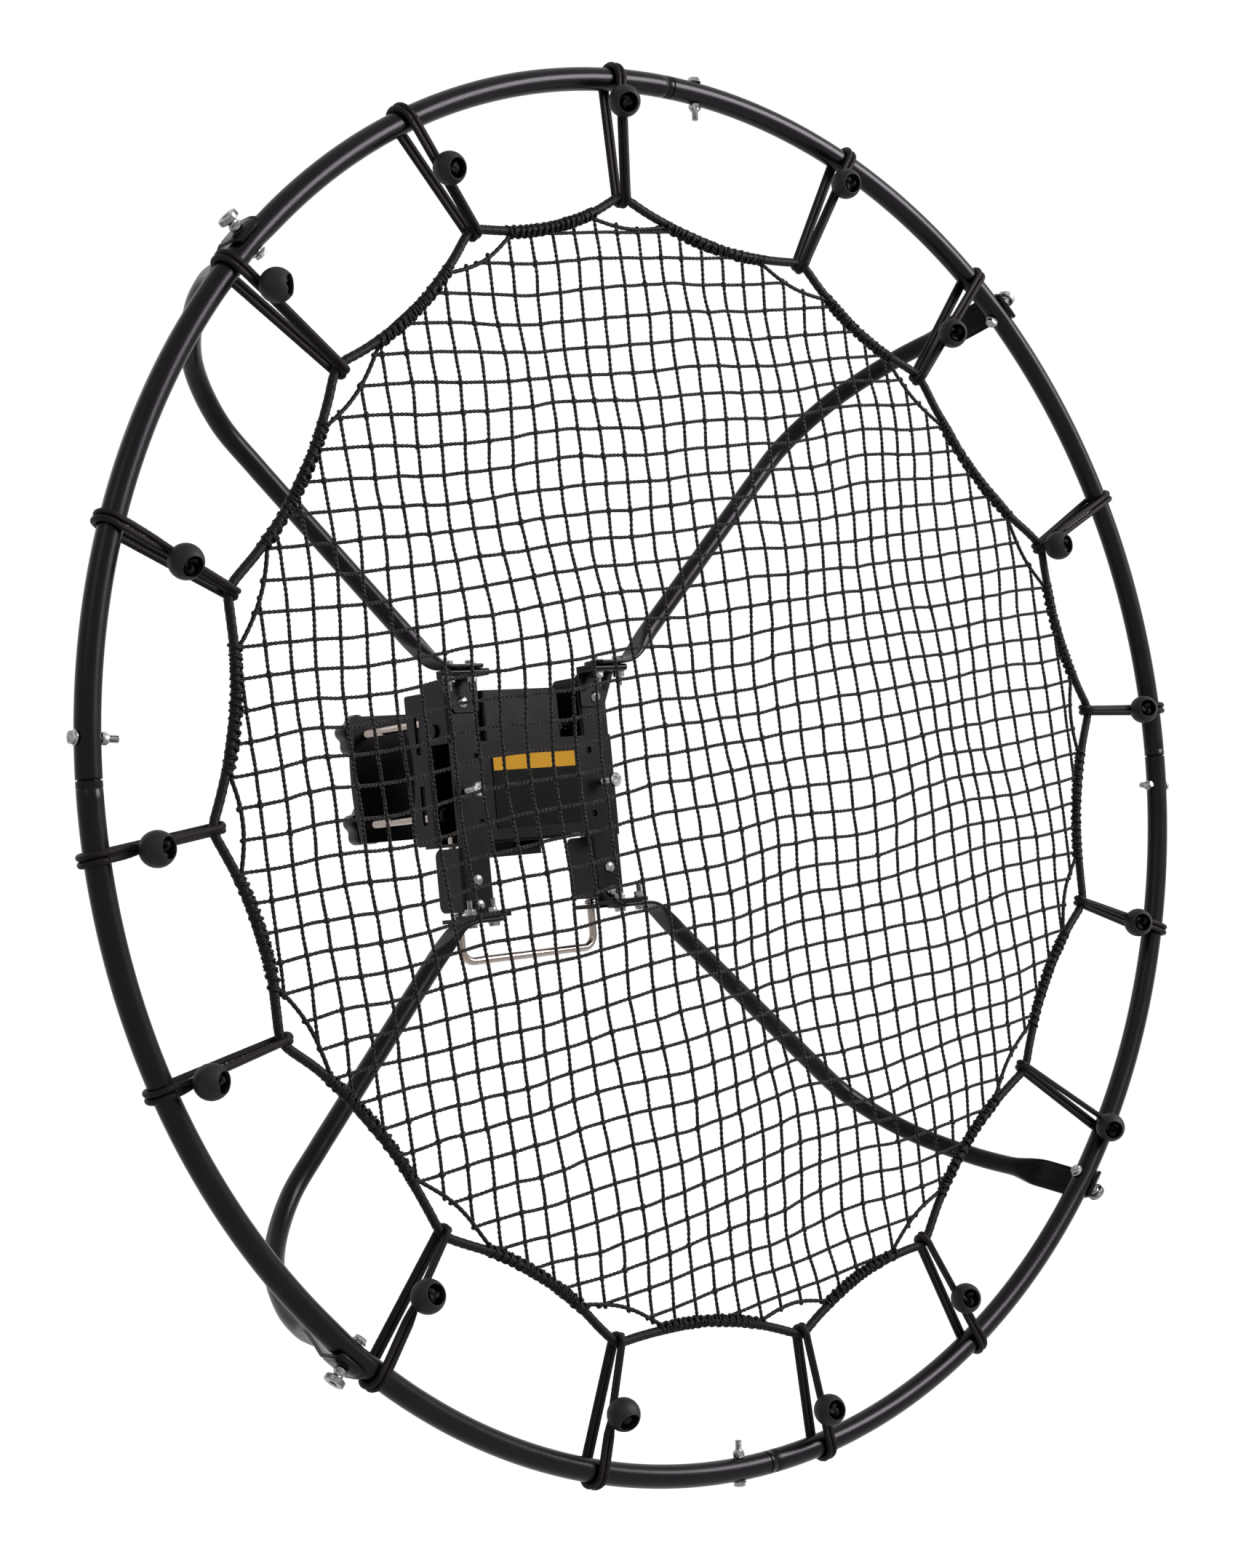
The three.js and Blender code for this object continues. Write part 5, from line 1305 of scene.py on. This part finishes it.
twisted, given = new_tree("twisted cord", Radius="Float", Sides="Int", Step="Float",
                          Flatness="Float", Twist="Float", Finish="Material")
course, length = cord_course(twisted, given)
tilt = math_node(twisted, "MULTIPLY", length, given["Twist"])
course = put(twisted, "GeometryNodeSetCurveTilt", {"Curve": course, "Tilt": tilt}).outputs[0]
profile = cord_profile(twisted, given, given["Flatness"])
end_tree(twisted, swept(twisted, course, profile), given["Finish"])

braided, given = new_tree("braided cord", Radius="Float", Sides="Int", Step="Float",
                          Strands="Float", Lay="Float", Depth="Float", Finish="Material")
course, _ = cord_course(braided, given)
plaited = swept(braided, course, cord_profile(braided, given))
around = stored(braided, "around")
along = stored(braided, "along", "FLOAT")
half_turn = math_node(braided, "MULTIPLY", angle_of(braided, around), given["Strands"])
half_turn = math_node(braided, "MULTIPLY", half_turn, 0.5)
half_lay = math_node(braided, "MULTIPLY", along, math.pi)
half_lay = math_node(braided, "DIVIDE", half_lay, given["Lay"])
ways = [math_node(braided, sign, half_turn, half_lay) for sign in ("ADD", "SUBTRACT")]
ways = [math_node(braided, "ABSOLUTE", math_node(braided, "SINE", way)) for way in ways]
swell = math_node(braided, "SUBTRACT", math_node(braided, "MAXIMUM", *ways), 0.7)
swell = math_node(braided, "MULTIPLY", swell, given["Depth"])
shift = {0: put(braided, "GeometryNodeInputNormal").outputs[0], "Scale": swell}
shift = put(braided, "ShaderNodeVectorMath", shift, operation="SCALE").outputs[0]
plaited = put(braided, "GeometryNodeSetPosition", {"Geometry": plaited, "Offset": shift}).outputs[0]
end_tree(braided, plaited, given["Finish"])


def line_mesh(name, lines, loop=False):
    """Edges along one or more lines of points."""
    points, edges = [], []
    for line in lines:
        first = len(points)
        points += [tuple(point) for point in line]
        edges += [(k, k + 1) for k in range(first, len(points) - 1)]
        if loop:
            edges.append((len(points) - 1, first))
    mesh = bpy.data.meshes.new(name)
    mesh.from_pydata(points, edges, [])
    return mesh


def laid(name, lines, tree, half, sides, step, finish, loop=True, angle=80, **values):
    """A cord of half a thickness along one or more lines, shaded smooth."""
    cord = formed(name, line_mesh(name + "_lines", lines, loop), tree, **{
        "Radius": half, "Sides": sides, "Step": step, "Finish": finish, **values})
    return smooth(cord, angle)


def cord_attribute(tree, name):
    return put(tree, "ShaderNodeAttribute", attribute_name=name).outputs


# Black nylon: twisted strands along each cord, dull, with a painted highlight in its colour on the
# strand crowns.
nylon, tree, shader, where = new_finish(
    "net nylon", (0.003, 0.0024, 0.0022), 0.45,
    Specular_IOR_Level=0.1, Specular_Tint=(1, 0.9, 0.87, 1))
lay = math_node(tree, "MULTIPLY", cord_attribute(tree, "along")["Fac"], 3300)
turned_by = angle_of(tree, cord_attribute(tree, "around")["Vector"])
strand_wave_and_highlight = math_node(tree, "SINE", plus(tree, lay, turned_by, 2))
fibre = grain_of(tree, where, 2300, 4)
# The strand wave lightens the colour on the crowns as a painted highlight; the fibre noise gives
# random tone, and the wave also shapes the relief.
toned(tree, shader, plus(tree, fibre, strand_wave_and_highlight, 0.2), (
    (0.0012, 0.0011, 0.001), (0.0125, 0.0116, 0.0108)), fibre, (0.3, 0.56))
relief(tree, shader, plus(tree, fibre, strand_wave_and_highlight, 0.5), 0.00025, 0.7)


def corner_at(k):
    """Where the border rope is drawn out at a corner, from the ring's centre."""
    k = k % CORNERS
    turn = math.radians(k * 360 / CORNERS + CORNER_SHIFTS[k])
    return np.array([math.cos(turn), math.sin(turn)]) * RING_RADIUS * CORNER_SHARES[k]


def span_point(k, share, inset=0.0):
    """A place on the border between corners k and k + 1, from the ring's centre."""
    start = corner_at(k)
    chord = corner_at(k + 1) - start
    inward = np.array([-chord[1], chord[0]])
    place = start + chord * share + inward * SCALLOP * 4 * share * (1 - share)
    return place + inward / np.linalg.norm(inward) * inset


def in_plane(place, behind=0.0):
    """A place of the net's plane, counted from the ring's centre, as a place of the object."""
    return RING_CENTRE + Vector((place[0], behind, place[1]))


def corner_point(k, share, inset):
    """A place where the net's edge crosses inside the corner after span k, in a slight bow."""
    start = span_point(k, 1 - LASHED_FROM, inset)
    end = span_point(k + 1, LASHED_FROM, inset)
    return (start + (end - start) * share) * (1 - CORNER_BOW * math.sin(math.pi * share))


edge = []
for k in range(CORNERS):
    for step in range(13):
        edge.append(span_point(k, LASHED_FROM + (1 - 2 * LASHED_FROM) * step / 12, EDGE_INSET))
    edge += [corner_point(k, step / 8, EDGE_INSET) for step in range(1, 8)]
edge = np.array(edge)


def edge_distance(places):
    """How far each place is from the net's edge."""
    after = np.roll(edge, -1, 0)
    run = after - edge
    share = np.einsum("pej,ej->pe", places[:, None] - edge, run) / (run**2).sum(1)
    nearest = edge + np.clip(share, 0, 1)[..., None] * run
    return np.sqrt(((places[:, None] - nearest) ** 2).sum(2)).min(1)


def hung(places):
    """Where places of the flat square mesh go once the net is hung: drawn, slack and uneven."""
    free = 1 - np.exp(-((edge_distance(places) / SLACK_REACH) ** 2))
    out = []
    for place, loose in zip(places, free):
        spot = Vector((place[0], place[1], 0))
        drift = noise.noise_vector(spot * 7.5) * 0.0085
        drift += noise.noise_vector(spot * 20 + Vector((5, 3, 1))) * 0.0014
        jolt = noise.noise_vector(spot * 50 + Vector((1, 8, 4))) * 0.0009
        sag = noise.noise(spot * 5 + Vector((9, 2, 7))) * 0.012
        moved = drift * loose + jolt * (0.35 + 0.65 * loose)
        out.append(in_plane((place[0] + moved.x, place[1] + moved.y), sag * loose + moved.z * 0.7))
    return out


def crossings(direction, offset):
    """The stretches of a straight line that lie inside the net's edge, as distances along it."""
    normal = np.array([-direction[1], direction[0]])
    high = edge @ normal - offset
    after = np.roll(high, -1)
    cuts = np.nonzero(high * after < 0)[0]
    ahead = edge @ direction
    follow = np.roll(ahead, -1)
    spots = sorted(ahead[k] + (follow[k] - ahead[k]) * high[k] / (high[k] - after[k]) for k in cuts)
    return [pair for pair in zip(spots[::2], spots[1::2]) if pair[1] - pair[0] > SHORTEST_CORD]


column_way = np.array([-math.sin(COLUMN_TURN), math.cos(COLUMN_TURN)])
row_way = np.array([math.cos(ROW_TURN), math.sin(ROW_TURN)])
column_normal = np.array([-column_way[1], column_way[0]])
row_normal = np.array([-row_way[1], row_way[0]])
reach = int(RING_RADIUS / MESH_PITCH)
knot_places = []
for kind, way, normal, phase in (
    ("columns", column_way, column_normal, COLUMN_PHASE), ("rows", row_way, row_normal, ROW_PHASE),
):
    for half, band in (("near", range(-reach, 0)), ("far", range(0, reach + 1))):
        lines = []
        for k in band:
            offset = (k + phase) * MESH_PITCH
            for low, high in crossings(way, offset):
                count = max(int((high - low) / NET_SAMPLE), 3)
                flat_places = normal * offset + np.outer(np.linspace(low, high, count + 1), way)
                lines.append(hung(flat_places))
                knot_places += [(flat_places[0], 0.85), (flat_places[-1], 0.85)]
        cords = laid(f"net_{kind}_{half}", lines, twisted, MESH_CORD, 4, MESH_STEP, nylon, False,
                     Flatness=MESH_CORD_FLATNESS, Twist=2 * math.pi / MESH_LAY)
        settle(cords, "tilt_frame", "net_cord", "net")

# Knots of the net: where two cords cross they are tied, in a small uneven lump of the same black
# nylon. Smaller ones sit where a cord ends at the border.
KNOT_SIZE = Vector((0.0033, 0.0026, 0.0021))
KNOT_ROWS = [(-1, 0.35, 0), (-0.62, 0.86, 0), (-0.1, 0.93, 0), (0.12, 1.05, 0), (0.66, 0.72, 0),
             (1, 0.3, 0)]
both_ways = np.array([column_normal, row_normal])
for i in range(-reach, reach + 1):
    offset = (i + COLUMN_PHASE) * MESH_PITCH
    for j in range(-reach, reach + 1):
        spot = np.linalg.solve(both_ways, [offset, (j + ROW_PHASE) * MESH_PITCH])
        if any(low < spot @ column_way < high for low, high in crossings(column_way, offset)):
            knot_places.append((spot, 1.0))
knot_spots = hung(np.array([place for place, _ in knot_places]))
draw = np.random.default_rng(7)
lumps = []
for spot, (_, share) in zip(knot_spots, knot_places):
    size = KNOT_SIZE * share * draw.uniform(0.82, 1.15)
    lean = Vector((draw.uniform(-0.3, 0.3), -1, draw.uniform(-0.3, 0.3)))
    lumps.append((spot, lean, draw.uniform(0, math.pi), size))
knots = turned_out("net_knots", KNOT_ROWS, lumps, nylon, 6, angle=50)
settle(knots, "tilt_frame", "net_cord", "net")

# Border rope: one closed loop of braided black rope, 7.6 mm across, drawn out at each corner.
# The bungees pull it outward there, and the net hangs from the stretches between.
PINCH = 0.0016
PINCH_REACH = 0.035
border = []
for k in range(CORNERS):
    for step in range(60):
        share = step / 60
        pinch = PINCH * math.exp(-((min(share, 1 - share) / PINCH_REACH) ** 2))
        spot = in_plane(span_point(k, share, pinch))
        border.append(spot + noise.noise_vector(spot * 30) * 0.0011)
rope = laid("net_border_rope", [border], braided, ROPE_HALF, 16, 0.0015, nylon,
            Strands=6.0, Lay=0.0074, Depth=0.0014)
settle(rope, "tilt_frame", "net_cord", "net")

# Selvage and lashing: the selvage follows the rope's inner side. Along the middle of each span
# two thinner cords, wound unevenly round both and crossing each other, bind it to the rope.
LASHING_PAST = 0.012
LASHING_TURNS = 16
selvage, lashings = [], []
for k in range(CORNERS):
    for step in range(26):
        share = LASHED_FROM + (1 - 2 * LASHED_FROM) * step / 25
        selvage.append(in_plane(span_point(k, share, SELVAGE_IN), 0.0004))
    for step in range(1, 16):
        spot = in_plane(corner_point(k, step / 16, SELVAGE_IN))
        selvage.append(spot + noise.noise_vector(spot * 20) * 0.0012)
    start = LASHED_FROM - LASHING_PAST
    for hand in (-1, 1):
        wraps = []
        turn = 1.1 * k
        for step in range(LASHING_STEPS + 1):
            share = start + (1 - 2 * start) * step / LASHING_STEPS
            spot = in_plane(span_point(k, share, 0.0013))
            before, after = span_point(k, share - 0.01), span_point(k, share + 0.01)
            way = Vector((after[0] - before[0], 0, after[1] - before[1])).normalized()
            side = way.cross(Vector((0, 1, 0)))
            lumpy = noise.noise(spot * 70 + Vector((hand, 0, 0)))
            uneven = 1 + 0.5 * noise.noise(spot * 45 + Vector((3, hand * 3, 3)))
            turn += hand * 2 * math.pi / LASHING_TURNS * uneven
            wide = 0.0049 + 0.0008 * lumpy + 0.0002 * hand
            deep = 0.0042 + 0.0005 * lumpy + 0.0003 * hand
            wraps.append(spot + side * wide * math.cos(turn)
                         + Vector((0, deep * math.sin(turn), 0)))
        lashings.append(wraps)
selvage_cord = laid("net_selvage", [selvage], twisted, SELVAGE_HALF, 8, 0.0016, nylon,
                    Flatness=0.85, Twist=2 * math.pi / 0.012)
settle(selvage_cord, "tilt_frame", "net_cord", "net")
lashing = laid("net_lashing", lashings, twisted, LASHING_HALF, 5, 0.0021, nylon, False,
               Flatness=0.85, Twist=2 * math.pi / 0.01)
settle(lashing, "tilt_frame", "net_cord", "net")

# Ball bungees: each is two loops of ribbed black elastic cord, 5.4 mm across, round the ring and
# hooked over the border rope. A hollow matt plastic ball on the front covers the knot of its ends.
RING_SHIFTS = [
    2.7, 1.3, 4.3, 0.1, 4.2, 4.2, 2.7, 2.4, 3.4, -2.2, 2.6, 2.5, 4.5, 1.9, 5.7, 3.6]
BALL_SHARES = [
    0.61, 0.14, 0.37, 0.68, 0.72, 0.5, 0.7, 0.54, 0.62, 0.72, 0.43, 0.52, 0.62, 0.52, 0.76, 0.54]
ELASTIC_HALF = 0.0027
SADDLE = 0.0035
ROUND_RING = 0.0132
ROUND_ROPE = 0.0062
BALL_HALF = 0.01475
BALL_AHEAD = 0.01275
# how far a ball has rolled and slid to the right and downward on its cords, in millimetres
BALL_SHIFTS = [
    (2, 3), (-6.5, 9), (0, -3), (2, -5), (-6, -4), (-3, -1), (-1, -5), (4.5, 8.5),
    (0, 3), (-1.5, 3), (-1.5, 1), (2, 3), (-2.5, 5), (0, 4.5), (11.5, 17), (3, 8)]
ROPE_SPREAD = 0.0026
RING_SPREAD = 0.0029
FRONT_SPREAD = 0.0009
FRONT_DEPTH = 0.0023
GATHERED_WITHIN = 0.22
CORD_SLIP = 0.0004
RUN_STEPS = 14
# which way a ball's mouth looks, to the right and up as seen from the camera
MOUTH_LEANS = [
    (0.22, 0.13), (0.75, 0.08), (0.3, -0.14), (0.5, -0.15), (0.33, -0.33), (0.68, -0.15),
    (0.98, 0), (0.62, -0.44), (0.9, 0.1), (0.93, 0), (0.65, 0.3), (0.48, -0.48),
    (0.5, 0.22), (0.33, 0.18), (0.12, -0.12), (0.22, 0.06)]
KNOT_CORD_HALF = 0.0023
KNOT_REACH = 0.0021
KNOT_STEPS = 48
ELASTIC_BRAID = {"Strands": 6.0, "Lay": 0.005, "Depth": 0.0002}

elastic, tree, shader, where = new_finish(
    "elastic cord", (0.004, 0.0031, 0.0028), 0.5,
    Specular_IOR_Level=0.12, Specular_Tint=(1, 0.9, 0.87, 1))
turned_by = angle_of(tree, cord_attribute(tree, "around")["Vector"])
lay = math_node(tree, "MULTIPLY", cord_attribute(tree, "along")["Fac"], 2900)
rib = math_node(tree, "SINE", math_node(tree, "MULTIPLY", turned_by, 14))
cross = math_node(tree, "SINE", plus(tree, lay, turned_by, 7))
weave = plus(tree, math_node(tree, "MULTIPLY", rib, 0.6), cross, 0.4)
fibre = grain_of(tree, where, 1900, 3)
toned(tree, shader, plus(tree, fibre, weave, 0.16), (
    (0.0014, 0.0011, 0.001), (0.0062, 0.0049, 0.0044)), fibre, (0.42, 0.6))
relief(tree, shader, weave, 0.0002, 0.6)

ball_plastic = clouded(
    "ball plastic", (0.009, 0.007, 0.0066), 0.5, (150, 4),
    ((0.0052, 0.0041, 0.0039), (0.0098, 0.0077, 0.0072)), (0.46, 0.66), (1500, 3, 0.00012, 0.45),
    Specular_IOR_Level=0.2)

ball_rows = [(BALL_HALF * math.cos(turn), BALL_HALF * math.sin(turn), 0)
             for turn in np.radians(np.linspace(178, 43, 20))]
ball_rows += [
    (0.0113, 0.0096, 0), (0.0113, 0.0091, 0), (0.0105, 0.0087, 0), (0.008, 0.0092, 0),
    (0.003, 0.0103, 0), (-0.003, 0.0101, 0), (-0.006, 0.007, 0), (-0.0068, 0.0008, 0)]
for number, share in enumerate(BALL_SHARES):
    hold = on_ring(math.radians(number * 360 / CORNERS + RING_SHIFTS[number]))
    outer = in_plane(corner_at(number))
    out_way = (hold - outer).normalized()
    across = out_way.cross(Vector((0, 1, 0)))
    low = outer - out_way * SADDLE
    square = math.pi / 2 + math.asin((ROUND_RING - ROUND_ROPE) / (hold - low).length)
    loops = []
    for side in (-1, 1):
        loop_points = []
        for centre, radius, first, last, steps, spread_by in (
            (hold, ROUND_RING, -square, square, 26, RING_SPREAD),
            (low, ROUND_ROPE, square, 2 * math.pi - square, 18, ROPE_SPREAD),
        ):
            for k in range(steps + 1):
                at = first + (last - first) * k / steps
                slip = CORD_SLIP * math.sin(3 * at + number)
                gathered = ease((at - math.pi) / (math.pi - square)) if centre is low else 0
                sideways = side * (spread_by + (FRONT_SPREAD - spread_by) * gathered) + slip
                deep = radius * math.sin(at) + side * FRONT_DEPTH * gathered
                loop_points.append(centre + out_way * radius * math.cos(at) + across * sideways
                                   + Vector((0, deep, 0)))
        run_start, run_end = [
            centre + out_way * radius * math.cos(square) - Vector((0, radius * math.sin(square), 0))
            for centre, radius in ((low, ROUND_ROPE), (hold, ROUND_RING))]
        for k in range(1, RUN_STEPS):
            gathered = 1 - ease((k / RUN_STEPS - share) / GATHERED_WITHIN)
            sideways = side * (RING_SPREAD + (FRONT_SPREAD - RING_SPREAD) * gathered)
            loop_points.append(run_start.lerp(run_end, k / RUN_STEPS) + across * sideways
                               + Vector((0, side * FRONT_DEPTH * gathered, 0)))
        loops.append(loop_points)
    cords = laid("cords", loops, braided, ELASTIC_HALF, 12, 0.0022, elastic, angle=60,
                 **ELASTIC_BRAID)
    right, down = BALL_SHIFTS[number]
    shift = Vector((right, 0, -down)) / 1000
    rolled = math.sqrt(BALL_AHEAD**2 - min(abs(shift.dot(across)), BALL_AHEAD * 0.9)**2)
    ahead = ROUND_ROPE + (ROUND_RING - ROUND_ROPE) * share + rolled
    spot = low.lerp(hold, share) - Vector((0, ahead, 0)) + shift
    right, up = MOUTH_LEANS[number]
    toward = (1 - right**2 - up**2) ** 0.5
    mouth = CAMERA_RIGHT * right + CAMERA_UP * up + camera_back * toward
    ball = turned_out("ball", ball_rows, [(spot, mouth, number * 0.7)], ball_plastic, 30, angle=40)
    knot_line = []
    for t in turns_round(KNOT_STEPS):
        knot_line.append(spot + aimed(mouth) @ Vector((
            KNOT_REACH * (math.sin(t) + 2 * math.sin(2 * t)),
            KNOT_REACH * (math.cos(t) - 2 * math.cos(2 * t)),
            0.0036 - 0.0032 * math.sin(3 * t + number))))
    knot_cord = laid("knot", [knot_line], braided, KNOT_CORD_HALF, 10, 0.002, elastic, angle=60,
                     **ELASTIC_BRAID)
    bungee = merged(f"ball_bungee_{number + 1:02d}", cords, ball, knot_cord)
    settle(bungee, "tilt_frame", "bungee", f"bungee_{number + 1:02d}")
